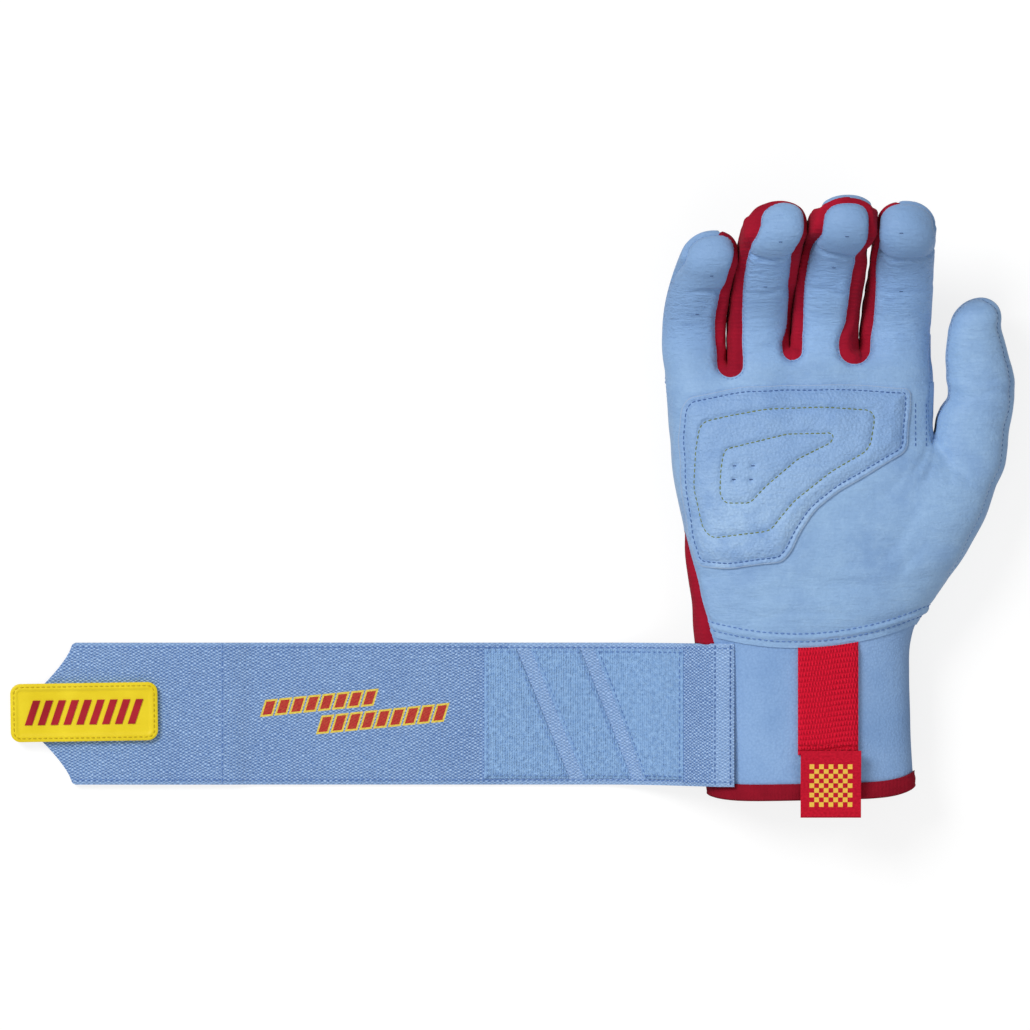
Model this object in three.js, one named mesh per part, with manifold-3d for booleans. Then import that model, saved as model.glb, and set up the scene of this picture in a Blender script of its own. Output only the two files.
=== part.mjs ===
// A right-hand batting glove with a long wrist strap, lying on its back with the palm up.
// Millimetres: +X to the thumb side, +Y to the fingertips, +Z out of the palm.
import * as THREE from "three";
import { mergeVertices } from "three/addons/utils/BufferGeometryUtils.js";
import Module from "manifold-3d";

const wasm = await Module();
wasm.setup();

// Sheet thicknesses and the clearance that separate pieces keep along a seam
const LEATHER = 1.2;
const STRETCH = 1.0;
const NEOPRENE = 2.6;
const BINDING = 0.9;
const SEAM_GAP = 0.3;

// Hand body: edges and thickness of the filled glove from hem to knuckles
const HEM_Y = 1.2;
const CUFF_LENGTH = 56;
const CUFF_TOP_Y = HEM_Y + CUFF_LENGTH;
const PALM_LENGTH = 91.8;
const KNUCKLE_Y = CUFF_TOP_Y + SEAM_GAP + PALM_LENGTH;
const THUMB_BASE_Y = CUFF_TOP_Y + 62.6;
const THUMB_CROTCH_Y = CUFF_TOP_Y + 72.1;
const PALM_RIGHT = 44.6;
const HAND_STATIONS = [
  { y: HEM_Y, left: -35.6, right: 38.4, thick: 28.8, lift: 1.3, power: 2.5 },
  { y: HEM_Y + 25, left: -36.6, right: 36.6, thick: 30, lift: 0.3, power: 2.5 },
  { y: CUFF_TOP_Y, left: -38.6, right: 37, thick: 31, lift: 0, power: 2.5 },
  { y: CUFF_TOP_Y + 13, left: -40.4, right: 44, thick: 32.5, lift: 0, power: 2.6 },
  { y: CUFF_TOP_Y + 32, left: -43, right: 55.5, thick: 33, lift: 0, power: 2.8 },
  { y: CUFF_TOP_Y + 49, left: -45, right: 65.5, thick: 32.5, lift: 0, power: 3 },
  { y: THUMB_BASE_Y, left: -47.2, right: 71.2, thick: 31.5, lift: 0, power: 3.2 },
  { y: KNUCKLE_Y, left: -49.4, right: 73.5, thick: 28.5, lift: 0, power: 3.2 },
];

// Ulnar gusset: a red stretch wedge let in between palm and back above the cuff
const GUSSET_LENGTH = 31;
const GUSSET_WIDTH = 6.5;
const GUSSET_POINT_WIDTH = 0.8;

// Hem binding tape, folded over the lower edge of the cuff
const BINDING_HEIGHT = 5.4;

// Fingers: x of the axis at the knuckle line, half widths, half depths, lengths between creases and pitch of each
// phalanx in degrees, lean of the axis, and how far the front leather reaches each side of the axis
const FINGER_POWER = 2.3;
const TIP_SEAM_ANGLE = 108;
const FINGERS = {
  pinky: {
    x: -39, halfWidth: [10.5, 9.3], halfDepth: [11, 8.6], phalanx: [22, 19, 12], pitch: [6, 32, 50],
    lean: -0.12, curl: 0.0045, front: [null, 7.4],
  },
  ring: {
    x: -16.9, halfWidth: [10.7, 10.2], halfDepth: [12.6, 9.2], phalanx: [27, 25, 15.5], pitch: [9, 38, 60],
    lean: -0.081, curl: 0.0029, front: [6.8, 8.4],
  },
  middle: {
    x: 6.5, halfWidth: [11.5, 10.6], halfDepth: [13, 9.4], phalanx: [27, 27, 15.5], pitch: [9, 40, 62],
    lean: -0.1, curl: 0.0037, front: [7.2, 8.2],
  },
  index: {
    x: 31.4, halfWidth: [12.4, 9.8], halfDepth: [12, 9.4], phalanx: [26, 26, 15.5], pitch: [10, 40, 60],
    lean: -0.064, curl: 0.0017, front: [9, null],
  },
};
const KNUCKLE_BEND = 9;

// Thumb: one straight tube that leaves the palm along a slanted base line
const THUMB = {
  x: 59.6, halfWidth: [13, 9.6], halfDepth: [12.4, 9], phalanx: [16, 16, 14], pitch: [6, 9, 12],
  lean: 0.03, curl: 0, front: [null, null],
};

// Palm pad: overlay outline on the palm, clockwise from its upper left corner, with rounded corners
const PAD_OUTLINE = [
  [-43.4, 139.5, 12], [-22, 147.4, 40], [35.6, 147.6, 3], [35.4, 124.6, 4], [13, 111.2, 60],
  [-3.4, 98, 16], [-9.4, 85.6, 5], [-39.6, 83.8, 5], [-45.6, 121, 60],
];
const PAD_LEATHER = 1.2;
const PAD_FOAM = 1.6;
const PAD_MARGIN = 6.5;
const PAD_CHANNEL_INSET = 16;
const PAD_CHANNEL_WIDTH = 1.6;
const PAD_CHANNEL_DEPTH = 0.7;

// Wrist strap: two-inch elastic webbing sewn to the cuff near its ulnar edge, lying out on the table
const STRAP_WIDTH = 50.8;
const STRAP_LOW_Y = 5.6;
const STRAP_THICK = 1.6;
const STRAP_START_X = -26.4;
const STRAP_LANDING_X = -74;
const STRAP_CORNER_X = -260;
const STRAP_END_X = -281;
const TONGUE_START_X = -271.4;
const TONGUE_WIDTH = 17;
const FOLD_GAP = 0.4;
const STRAP_SECTIONS = [
  { name: "strap_anchor", length: 9, rows: 3 },
  { name: "strap_ulnar_upper", length: 17.5, rows: 7 },
  { name: "strap_ulnar_lower", length: 18, rows: 7 },
  { name: "strap_back", length: 67, rows: 14 },
  { name: "strap_radial_lower", length: 23, rows: 2 },
  { name: "strap_radial_upper", length: 27, rows: 2 },
  { name: "strap_palm", length: 62.5, rows: 12 },
];

// Hook patch under the strap end, loop patches on its upper face and the moulded pull badge
const HOOK_THICK = 1.2;
const HOOK_LENGTH = 48;
const HOOK_MARGIN = 2.4;
const HOOK_FOLD_GAP = 2.6;
const LOOP_THICK = 0.9;
const LOOP_MARGIN = 3;
const LOOP_START_X = -43.6;
const LOOP_END_X = -114;
const LOOP_SLANT_RUN = 19;
const LOOP_BAND = 6;
const LOOP_BAND_X = [-70, -92];
const BADGE_LENGTH = 52;
const BADGE_WIDTH = 21;
const BADGE_THICK = 2.2;
const BADGE_OVERHANG = 3.2;
const BADGE_CORNER = 3.6;

// Pull tab: red webbing stitched over the cuff, with a folded woven label that hangs past the hem
const TAB_WIDTH = 21.4;
const TAB_X = 6.8;
const TAB_WEB_THICK = 1.2;
const TAB_WEB_LENGTH = 39;
const LABEL_LENGTH = 23.7;
const LABEL_LEAF = 0.6;
const LABEL_LAP = 1.6;

const COLOURS = {
  leather: [0x86a8d8, 0.62],
  stretch: [0xa8182c, 0.85],
  neoprene: [0x7fa3d3, 0.8],
  webbing: [0x7fa2d6, 0.88],
  loop: [0x78a0d4, 0.95],
  hook: [0x6f97cc, 0.7],
  badge: [0xe0c234, 0.5],
  tab: [0xb01830, 0.8],
  foam: [0xd8d4c8, 0.95],
};
const materials = Object.fromEntries(
  Object.entries(COLOURS).map(([slot, [color, roughness]]) => [
    slot,
    new THREE.MeshStandardMaterial({ color, roughness, metalness: 0 }),
  ]),
);

const glove = new THREE.Group();

function addMesh(name, material, geometry) {
  const mesh = new THREE.Mesh(geometry, materials[material]);
  mesh.name = name;
  glove.add(mesh);
  return mesh;
}

// Small shape helpers

const radians = THREE.MathUtils.degToRad;
const lerp = THREE.MathUtils.lerp;

function steps(count) {
  return Array.from({ length: count + 1 }, (_, i) => i / count);
}

function signedPower(value, power) {
  return Math.sign(value) * Math.abs(value) ** power;
}

// Catmull-Rom value through stations, read at any y
function through(stations, key) {
  return (y) => {
    const last = stations.length - 2;
    const i = THREE.MathUtils.clamp(stations.findIndex((s) => s.y > y) - 1, 0, last);
    const k = y >= stations[last].y ? last : i;
    const at = (n) => stations[THREE.MathUtils.clamp(n, 0, stations.length - 1)][key];
    const t = (y - stations[k].y) / (stations[k + 1].y - stations[k].y);
    const [p0, p1, p2, p3] = [at(k - 1), at(k), at(k + 1), at(k + 2)];
    const m1 = (p2 - p0) / 2;
    const m2 = (p3 - p1) / 2;
    return (2 * t ** 3 - 3 * t ** 2 + 1) * p1 + (t ** 3 - 2 * t ** 2 + t) * m1 +
      (3 * t ** 2 - 2 * t ** 3) * p2 + (t ** 3 - t ** 2) * m2;
  };
}

// Closed sheet between two layers of one surface: point(u, v, layer), layer 0 inside and 1 outside
function sheet(us, vs, point) {
  const corners = [];
  const faces = [];
  const columns = vs.length;
  const layerSize = us.length * columns;
  for (const layer of [1, 0]) for (const u of us) for (const v of vs) corners.push(point(u, v, layer));
  const quad = (a, b, c, d) => faces.push(a, b, c, a, c, d);
  const id = (layer, i, j) => (1 - layer) * layerSize + i * columns + j;
  for (let i = 0; i < us.length - 1; i++)
    for (let j = 0; j < columns - 1; j++) {
      quad(id(1, i, j), id(1, i, j + 1), id(1, i + 1, j + 1), id(1, i + 1, j));
      quad(id(0, i, j), id(0, i + 1, j), id(0, i + 1, j + 1), id(0, i, j + 1));
    }
  for (let i = 0; i < us.length - 1; i++) {
    quad(id(1, i, 0), id(1, i + 1, 0), id(0, i + 1, 0), id(0, i, 0));
    quad(id(1, i + 1, columns - 1), id(1, i, columns - 1), id(0, i, columns - 1), id(0, i + 1, columns - 1));
  }
  for (let j = 0; j < columns - 1; j++) {
    quad(id(1, 0, j + 1), id(1, 0, j), id(0, 0, j), id(0, 0, j + 1));
    const end = us.length - 1;
    quad(id(1, end, j), id(1, end, j + 1), id(0, end, j + 1), id(0, end, j));
  }
  return facingOut(corners, faces);
}

// Closed ring: sections of a closed profile, joined round in a loop
function ring(around, profile, point) {
  const corners = [];
  const faces = [];
  const n = profile.length;
  for (let i = 0; i < around; i++) for (const p of profile) corners.push(point(i / around, p));
  for (let i = 0; i < around; i++)
    for (let j = 0; j < n; j++) {
      const [a, b] = [i * n + j, i * n + ((j + 1) % n)];
      const [c, d] = [((i + 1) % around) * n + ((j + 1) % n), ((i + 1) % around) * n + j];
      faces.push(a, b, c, a, c, d);
    }
  return facingOut(corners, faces);
}

function facingOut(corners, faces) {
  let volume = 0;
  for (let i = 0; i < faces.length; i += 3) {
    const [a, b, c] = [corners[faces[i]], corners[faces[i + 1]], corners[faces[i + 2]]];
    volume += a.dot(new THREE.Vector3().crossVectors(b, c));
  }
  if (volume < 0) for (let i = 0; i < faces.length; i += 3) [faces[i], faces[i + 1]] = [faces[i + 1], faces[i]];
  const geometry = new THREE.BufferGeometry().setFromPoints(corners);
  geometry.setIndex(faces);
  geometry.computeVertexNormals();
  return geometry;
}

// Boolean joins and cuts between closed geometries
function solid(geometry) {
  const bare = geometry.clone();
  bare.deleteAttribute("normal");
  bare.deleteAttribute("uv");
  const merged = mergeVertices(bare, 1e-4);
  const vertProperties = new Float32Array(merged.attributes.position.array);
  const triVerts = new Uint32Array(merged.index.array);
  return new wasm.Manifold(new wasm.Mesh({ numProp: 3, vertProperties, triVerts }));
}

function toGeometry(manifold) {
  const mesh = manifold.getMesh();
  const geometry = new THREE.BufferGeometry();
  geometry.setAttribute("position", new THREE.BufferAttribute(new Float32Array(mesh.vertProperties), 3));
  geometry.setIndex(new THREE.BufferAttribute(new Uint32Array(mesh.triVerts), 1));
  geometry.computeVertexNormals();
  return geometry;
}

// Hand body section: an upper and a lower arc across the hand at one y, standing on the table
const leftEdge = through(HAND_STATIONS, "left");
const rightEdge = through(HAND_STATIONS, "right");
const thickness = through(HAND_STATIONS, "thick");
const liftAt = through(HAND_STATIONS, "lift");
const powerAt = through(HAND_STATIONS, "power");
const middleHeight = (y) => thickness(y) / 2 + Math.max(liftAt(y), 0);

// Point on the body at y; angle runs from -90 at the ulnar edge through 0 to 90 at the thumb edge
function bodyPoint(y, angle, side, inset, right = rightEdge(y)) {
  const left = leftEdge(y);
  const halfDepth = thickness(y) / 2;
  const across = signedPower(Math.sin(radians(angle)), 2 / powerAt(y));
  const rise = signedPower(Math.cos(radians(angle)), 2 / powerAt(y));
  const x = (left + right) / 2 + across * ((right - left) / 2 - inset);
  const z = Math.max(rise * (halfDepth - inset), SEAM_GAP / 2);
  return new THREE.Vector3(x, y, middleHeight(y) + side * z);
}

// Angle at which the body section reaches a given x
function angleAt(y, x, right = rightEdge(y)) {
  const left = leftEdge(y);
  const share = THREE.MathUtils.clamp((x - (left + right) / 2) / ((right - left) / 2), -1, 1);
  return THREE.MathUtils.radToDeg(Math.asin(signedPower(share, powerAt(y) / 2)));
}

function topHeight(x, y) {
  return bodyPoint(y, angleAt(y, x), 1, 0).z;
}

// Ulnar gusset edge: how far in from the edge the palm and back leather stop at y
function gussetInset(y) {
  const share = THREE.MathUtils.clamp((CUFF_TOP_Y + GUSSET_LENGTH - y) / GUSSET_LENGTH, 0, 1);
  return share * GUSSET_WIDTH;
}

// Slanted line at which the thumb leaves the palm
const THUMB_LINE_RUN = HAND_STATIONS[6].right - PALM_RIGHT - 1.4;
const THUMB_LINE_SLOPE = (THUMB_BASE_Y - THUMB_CROTCH_Y) / THUMB_LINE_RUN;

function thumbLineX(y) {
  return PALM_RIGHT + 1.4 + (y - THUMB_CROTCH_Y) / THUMB_LINE_SLOPE;
}

// Rows and thumb-side limits of the palm and back panels
const PANEL_ROWS = [
  ...steps(6).map((t) => lerp(CUFF_TOP_Y + SEAM_GAP, THUMB_BASE_Y, t)),
  lerp(THUMB_BASE_Y, THUMB_CROTCH_Y, 0.5),
  THUMB_CROTCH_Y,
  ...steps(2).map((t) => lerp(THUMB_CROTCH_Y + 3, KNUCKLE_Y - SEAM_GAP / 2, t)),
];
const PANEL_COLUMNS = 14;

const CROTCH_RIGHT = 60;

function panelSpan(y) {
  const pastCrotch = y > THUMB_CROTCH_Y + 0.01;
  const narrowing = THREE.MathUtils.clamp((y - THUMB_BASE_Y) / (THUMB_CROTCH_Y - THUMB_BASE_Y), 0, 1);
  const right = pastCrotch ? PALM_RIGHT : lerp(rightEdge(y), CROTCH_RIGHT, narrowing);
  const inset = gussetInset(y);
  const from = inset > 0 ? angleAt(y, leftEdge(y) + inset, right) : -90;
  const cut = !pastCrotch && y > THUMB_BASE_Y;
  const to = cut ? angleAt(y, thumbLineX(y), right) : 90;
  return { from, to, right };
}

function bodyPanel(side, low, high) {
  return sheet(PANEL_ROWS, steps(PANEL_COLUMNS), (y, v, layer) => {
    const { from, to, right } = panelSpan(y);
    const point = bodyPoint(y, lerp(from, to, v), side, layer ? -high : -low, right);
    const edge = y === PANEL_ROWS[0] || v > 0 || gussetInset(y) === 0;
    if (!edge) point.x += SEAM_GAP;
    return point;
  });
}

// Palm and back leather, open at the fingers, at the thumb and at the cuff
addMesh("palm_leather", "leather", bodyPanel(1, -LEATHER, 0));
addMesh("back_leather", "leather", bodyPanel(-1, -LEATHER, 0));

// Ulnar gusset between the two, tapering to its upper point
const gussetTop = CUFF_TOP_Y + GUSSET_LENGTH * (1 - GUSSET_POINT_WIDTH / GUSSET_WIDTH) - 4;
addMesh("ulnar_gusset", "stretch", sheet(
  steps(4).map((t) => lerp(CUFF_TOP_Y + SEAM_GAP, gussetTop, t)),
  steps(6),
  (y, v, layer) => {
    const inset = Math.max(gussetInset(y) - 2 * SEAM_GAP, GUSSET_POINT_WIDTH);
    const edge = angleAt(y, leftEdge(y) + inset);
    const turn = lerp(-1, 1, v);
    const angle = lerp(-90, edge, Math.abs(turn));
    const point = bodyPoint(y, angle, Math.sign(turn) || 1, layer ? 0 : STRETCH);
    if (turn === 0) point.z = middleHeight(y);
    return point;
  },
));

// Cuff: one closed neoprene tube
const CUFF_AROUND = 32;
addMesh("cuff", "neoprene", ring(CUFF_AROUND, [[0, 0], [0.5, 0], [1, 0], [1, 1], [0.5, 1], [0, 1]], (turn, [t, layer]) => {
  const y = lerp(HEM_Y + BINDING + SEAM_GAP, CUFF_TOP_Y, t);
  return aroundPoint(y, turn, layer * NEOPRENE);
}));

function aroundPoint(y, turn, inset) {
  const angle = turn * 360;
  const side = angle < 180 ? 1 : -1;
  const point = bodyPoint(y, angle < 180 ? angle - 90 : 270 - angle, side, inset);
  if (turn === 0 || turn === 0.5) point.z = middleHeight(y);
  return point;
}

// Hem binding: tape with a U section that wraps the lower edge of the cuff
const bindingTop = HEM_Y + BINDING_HEIGHT;
const cuffHem = HEM_Y + BINDING + SEAM_GAP;
const BINDING_SECTION = [
  [HEM_Y, -SEAM_GAP - BINDING],
  [bindingTop, -SEAM_GAP - BINDING],
  [bindingTop, -SEAM_GAP],
  [cuffHem - SEAM_GAP, -SEAM_GAP],
  [cuffHem - SEAM_GAP, NEOPRENE + SEAM_GAP],
  [bindingTop, NEOPRENE + SEAM_GAP],
  [bindingTop, NEOPRENE + SEAM_GAP + BINDING],
  [HEM_Y, NEOPRENE + SEAM_GAP + BINDING],
];
addMesh("hem_binding", "stretch", ring(CUFF_AROUND, BINDING_SECTION, (turn, [y, inset]) => aroundPoint(y, turn, inset)));

// Finger axis: position and directions at a distance along it from the knuckle line
function fingerAxis(f, baseY) {
  const total = f.phalanx[0] + f.phalanx[1] + f.phalanx[2];
  const joints = [f.phalanx[0], f.phalanx[0] + f.phalanx[1]];
  const bendShare = (s, joint) => THREE.MathUtils.smoothstep(s, joint - KNUCKLE_BEND, joint + KNUCKLE_BEND);
  const pitchAt = (s) => radians(f.pitch[0] * bendShare(s, KNUCKLE_BEND) +
    (f.pitch[1] - f.pitch[0]) * bendShare(s, joints[0]) + (f.pitch[2] - f.pitch[1]) * bendShare(s, joints[1]));
  const side = new THREE.Vector3(1, -f.lean, 0).normalize();
  const ahead = new THREE.Vector3(f.lean, 1, 0).normalize();
  const samples = [{ run: 0, rise: 0 }];
  const stepLength = total / 60;
  for (let i = 0; i < 60; i++) {
    const pitch = pitchAt((i + 0.5) * stepLength);
    samples.push({
      run: samples[i].run + Math.cos(pitch) * stepLength,
      rise: samples[i].rise + Math.sin(pitch) * stepLength,
    });
  }
  const baseZ = middleHeight(baseY);
  return (s) => {
    const place = THREE.MathUtils.clamp(s / stepLength, 0, 60);
    const i = Math.min(Math.floor(place), 59);
    const run = lerp(samples[i].run, samples[i + 1].run, place - i) + Math.min(s, 0);
    const rise = lerp(samples[i].rise, samples[i + 1].rise, place - i);
    const pitch = pitchAt(Math.max(s, 0));
    const along = new THREE.Vector3().addScaledVector(ahead, Math.cos(pitch));
    along.z = Math.sin(pitch);
    const palmar = new THREE.Vector3().crossVectors(side, along);
    return {
      centre: new THREE.Vector3(f.x + f.lean * run + f.curl * run * run, baseY + run, baseZ + rise),
      along, palmar, side,
      halfWidth: lerp(f.halfWidth[0], f.halfWidth[1], s / total),
      halfDepth: lerp(f.halfDepth[0], f.halfDepth[1], s / total),
    };
  };
}

// Point on the skin of a finger: turn is 0 on the palm side, 90 past the tip and 180 on the back
function fingerPoint(axis, s, across, turn, inset) {
  const a = axis(s);
  const halfWidth = a.halfWidth - inset;
  const halfDepth = a.halfDepth - inset;
  const share = THREE.MathUtils.clamp(across / a.halfWidth, -1, 1);
  const depth = halfDepth * (1 - Math.abs(share) ** FINGER_POWER) ** (1 / FINGER_POWER);
  return a.centre.clone()
    .addScaledVector(a.side, share * halfWidth)
    .addScaledVector(a.palmar, Math.cos(radians(turn)) * depth)
    .addScaledVector(a.along, Math.sin(radians(turn)) * depth);
}

const SHAFT_ROWS = 7;
const TIP_ROWS = 5;
const ACROSS_ROWS = 8;

// A sheet that runs up one face of a finger, over the tip as far as the tip seam
function fingerFace(axis, total, faceTurn, seamTurn, limits, startAt, rise) {
  const rows = [
    ...steps(SHAFT_ROWS).map((t) => ({ t, turn: faceTurn })),
    ...steps(TIP_ROWS).slice(1).map((t) => ({ t: 1, turn: lerp(faceTurn, seamTurn, t) })),
  ];
  const sign = faceTurn === 0 ? 1 : -1;
  return sheet(rows, steps(ACROSS_ROWS), (row, v, layer) => {
    const widest = axis(row.t * total).halfWidth;
    const low = limits[0] === null ? -widest : -limits[0] + SEAM_GAP / 2;
    const high = limits[1] === null ? widest : limits[1] - SEAM_GAP / 2;
    const middle = (low + high) / 2;
    const across = middle + ((high - low) / 2) * Math.sin(radians(lerp(-90, 90, v)));
    const s = lerp(startAt(across), total, row.t);
    const point = fingerPoint(axis, s, across, row.turn, layer ? -rise : LEATHER - rise);
    const edge = Math.abs(across) >= widest - 0.01;
    if (edge) point.addScaledVector(axis(s).palmar, (sign * SEAM_GAP) / 2);
    return point;
  });
}

// A red side wall of a finger, ending in a rounded tab beside the tip
function fingerSide(axis, total, limit, sign, start) {
  const rows = [
    ...steps(SHAFT_ROWS).map((t) => ({ s: lerp(start, total, t), past: 0 })),
    ...[30, 55, 75].map((past) => ({ s: total, past })),
  ];
  return sheet(rows, steps(4), ({ s, past }, v, layer) => {
    const a = axis(s);
    const edge = limit + SEAM_GAP / 2;
    const inset = layer ? 0 : STRETCH;
    const shrink = (1 - (edge / a.halfWidth) ** FINGER_POWER) ** (1 / FINGER_POWER);
    const seamDepth = shrink * a.halfDepth;
    const forward = seamDepth * Math.sin(radians(past));
    const depth = seamDepth * Math.cos(radians(past)) * Math.sin(radians(lerp(-90, 90, v)));
    const radial = Math.min(Math.hypot(forward, depth) / a.halfDepth, 1);
    const across = a.halfWidth * (1 - radial ** FINGER_POWER) ** (1 / FINGER_POWER);
    const narrow = (a.halfWidth - inset) / a.halfWidth;
    const thin = (a.halfDepth - inset) / a.halfDepth;
    return a.centre.clone()
      .addScaledVector(a.side, sign * across * narrow)
      .addScaledVector(a.palmar, depth * thin)
      .addScaledVector(a.along, forward * thin);
  });
}

function addFinger(name, f, baseY, startAt) {
  const axis = fingerAxis(f, baseY);
  const total = f.phalanx[0] + f.phalanx[1] + f.phalanx[2];
  const seam = SEAM_GAP / 2 / f.halfDepth[1];
  const seamShare = THREE.MathUtils.radToDeg(seam);
  addMesh(`${name}_front`, "leather",
    fingerFace(axis, total, 0, TIP_SEAM_ANGLE - seamShare, f.front, startAt, 0));
  addMesh(`${name}_back`, "leather",
    fingerFace(axis, total, 180, TIP_SEAM_ANGLE + seamShare, f.front, startAt, 0));
  const [ulnar, radial] = f.front;
  const start = Math.max(startAt(f.halfWidth[0]), startAt(-f.halfWidth[0]));
  if (ulnar !== null) addMesh(`${name}_fourchette_ulnar`, "stretch", fingerSide(axis, total, ulnar, -1, start));
  if (radial !== null) addMesh(`${name}_fourchette_radial`, "stretch", fingerSide(axis, total, radial, 1, start));
}

for (const [name, f] of Object.entries(FINGERS))
  addFinger(name, f, KNUCKLE_Y + SEAM_GAP / 2, (across) => across * f.lean);

// The thumb starts along the slanted line where it leaves the palm
const thumbBaseY = THUMB_CROTCH_Y + (THUMB.x - PALM_RIGHT - 1.4) * THUMB_LINE_SLOPE + 2 * SEAM_GAP;
const thumbBase = (across) => across * THUMB_LINE_SLOPE;
addFinger("thumb", THUMB, thumbBaseY, thumbBase);

// Fourchette webs: red saddles that close the palm between neighbouring fingers
const WEB_WIDTH = 3.2;
const WEB_LENGTH = 2.2;
const fingerList = Object.entries(FINGERS);
for (let i = 0; i < fingerList.length - 1; i++) {
  const [[nameA, a], [nameB, b]] = [fingerList[i], fingerList[i + 1]];
  const x = (a.x + a.halfWidth[0] + b.x - b.halfWidth[0]) / 2;
  const y = KNUCKLE_Y - SEAM_GAP / 2;
  const angle = angleAt(y, x, PALM_RIGHT);
  const reach = bodyPoint(y, angle, 1, LEATHER + SEAM_GAP, PALM_RIGHT).z - middleHeight(y) - SEAM_GAP;
  const saddle = sheet(steps(4), steps(2), (u, v, layer) => new THREE.Vector3(
    x + lerp(-WEB_WIDTH, WEB_WIDTH, v) / 2,
    y - WEB_LENGTH * (0.4 + 0.6 * Math.abs(lerp(-1, 1, v))) - (layer ? 0 : STRETCH),
    middleHeight(y) + lerp(-reach, reach, u),
  ));
  addMesh(`web_${nameA}_${nameB}`, "stretch", saddle);
}

// Palm pad: foam quilted under a leather overlay, both following the palm
function roundedOutline(points, grow) {
  const centre = points.reduce((sum, [x, y]) => sum.add(new THREE.Vector2(x, y)), new THREE.Vector2())
    .divideScalar(points.length);
  const moved = points.map(([x, y, r]) => {
    const out = new THREE.Vector2(x, y).sub(centre);
    return { at: new THREE.Vector2(x, y).addScaledVector(out.normalize(), grow), r };
  });
  const shape = new THREE.Shape();
  moved.forEach(({ at, r }, i) => {
    const before = moved[(i + moved.length - 1) % moved.length].at;
    const after = moved[(i + 1) % moved.length].at;
    const reachIn = Math.min(r, at.distanceTo(before) * 0.45);
    const reachOut = Math.min(r, at.distanceTo(after) * 0.45);
    const enter = at.clone().lerp(before, reachIn / at.distanceTo(before));
    const leave = at.clone().lerp(after, reachOut / at.distanceTo(after));
    if (i === 0) shape.moveTo(enter.x, enter.y);
    else shape.lineTo(enter.x, enter.y);
    shape.quadraticCurveTo(at.x, at.y, leave.x, leave.y);
  });
  shape.closePath();
  return shape;
}

function padPrism(grow) {
  const prism = new THREE.ExtrudeGeometry(roundedOutline(PAD_OUTLINE, grow), {
    depth: 60, bevelEnabled: false, curveSegments: 4,
  });
  return solid(prism);
}

const padSlab = (low, high) => solid(bodyPanel(1, low, high));
const padFoot = SEAM_GAP;
const foamTop = padFoot + PAD_FOAM;
const padTop = foamTop + SEAM_GAP + PAD_LEATHER;
const upperHalf = padPrism(0);
addMesh("palm_pad_foam", "foam", toGeometry(padSlab(padFoot, foamTop).intersect(padPrism(-PAD_MARGIN))));
const padRim = padSlab(padFoot, padFoot + PAD_LEATHER).intersect(upperHalf);
const padCrown = padSlab(padFoot, padTop).intersect(padPrism(SEAM_GAP + PAD_LEATHER - PAD_MARGIN));
const padHollow = padSlab(-LEATHER, foamTop + SEAM_GAP).intersect(padPrism(SEAM_GAP - PAD_MARGIN));
const channelRing = padPrism(-PAD_CHANNEL_INSET).subtract(padPrism(-PAD_CHANNEL_INSET - PAD_CHANNEL_WIDTH));
const padChannel = padSlab(padTop - PAD_CHANNEL_DEPTH, padTop + PAD_CHANNEL_DEPTH).intersect(channelRing);
addMesh("palm_pad", "leather", toGeometry(padRim.add(padCrown).subtract(padHollow).subtract(padChannel)));

// Strap centreline in the XZ plane: off the cuff, down to the table, along it and up over the hook patch
const strapMidY = STRAP_LOW_Y + STRAP_WIDTH / 2;
const onTable = STRAP_THICK / 2;
const onHook = HOOK_THICK + SEAM_GAP + STRAP_THICK / 2;
const strapStartZ = topHeight(STRAP_START_X, strapMidY) + 2 * SEAM_GAP + STRAP_THICK;
const hookStartX = STRAP_CORNER_X + 1.6 + HOOK_LENGTH;
const HOOK_RAMP = 14;
const STRAP_LEAVE_RUN = 14.6;
const STRAP_LEAVE_DROP = 1.2;
const strapPath = new THREE.CurvePath();
const at2 = (x, z) => new THREE.Vector3(x, 0, z);
strapPath.add(new THREE.CubicBezierCurve3(
  at2(STRAP_START_X, strapStartZ),
  at2(STRAP_START_X - STRAP_LEAVE_RUN, strapStartZ - STRAP_LEAVE_DROP),
  at2(STRAP_LANDING_X + 26, onTable),
  at2(STRAP_LANDING_X, onTable),
));
strapPath.add(new THREE.LineCurve3(at2(STRAP_LANDING_X, onTable), at2(hookStartX + HOOK_RAMP, onTable)));
strapPath.add(new THREE.CubicBezierCurve3(
  at2(hookStartX + HOOK_RAMP, onTable),
  at2(hookStartX + HOOK_RAMP * 0.6, onTable),
  at2(hookStartX + HOOK_RAMP * 0.6, onHook),
  at2(hookStartX + 1, onHook),
));
strapPath.add(new THREE.LineCurve3(at2(hookStartX + 1, onHook), at2(STRAP_END_X, onHook)));
const strapLength = strapPath.getLength();

// Point on the strap at a length along it and a y, raised from its centreline
function strapPoint(s, y, rise) {
  const t = THREE.MathUtils.clamp(s / strapLength, 0, 1);
  const point = strapPath.getPointAt(t);
  const tangent = strapPath.getTangentAt(t);
  const normal = new THREE.Vector3(tangent.z, 0, -tangent.x);
  return point.addScaledVector(normal, rise).setY(y);
}

// Length along the strap at which it reaches x
function strapLengthAt(x) {
  let [low, high] = [0, strapLength];
  for (let i = 0; i < 40; i++) {
    const middle = (low + high) / 2;
    if (strapPath.getPointAt(middle / strapLength).x > x) low = middle;
    else high = middle;
  }
  return low;
}

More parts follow.
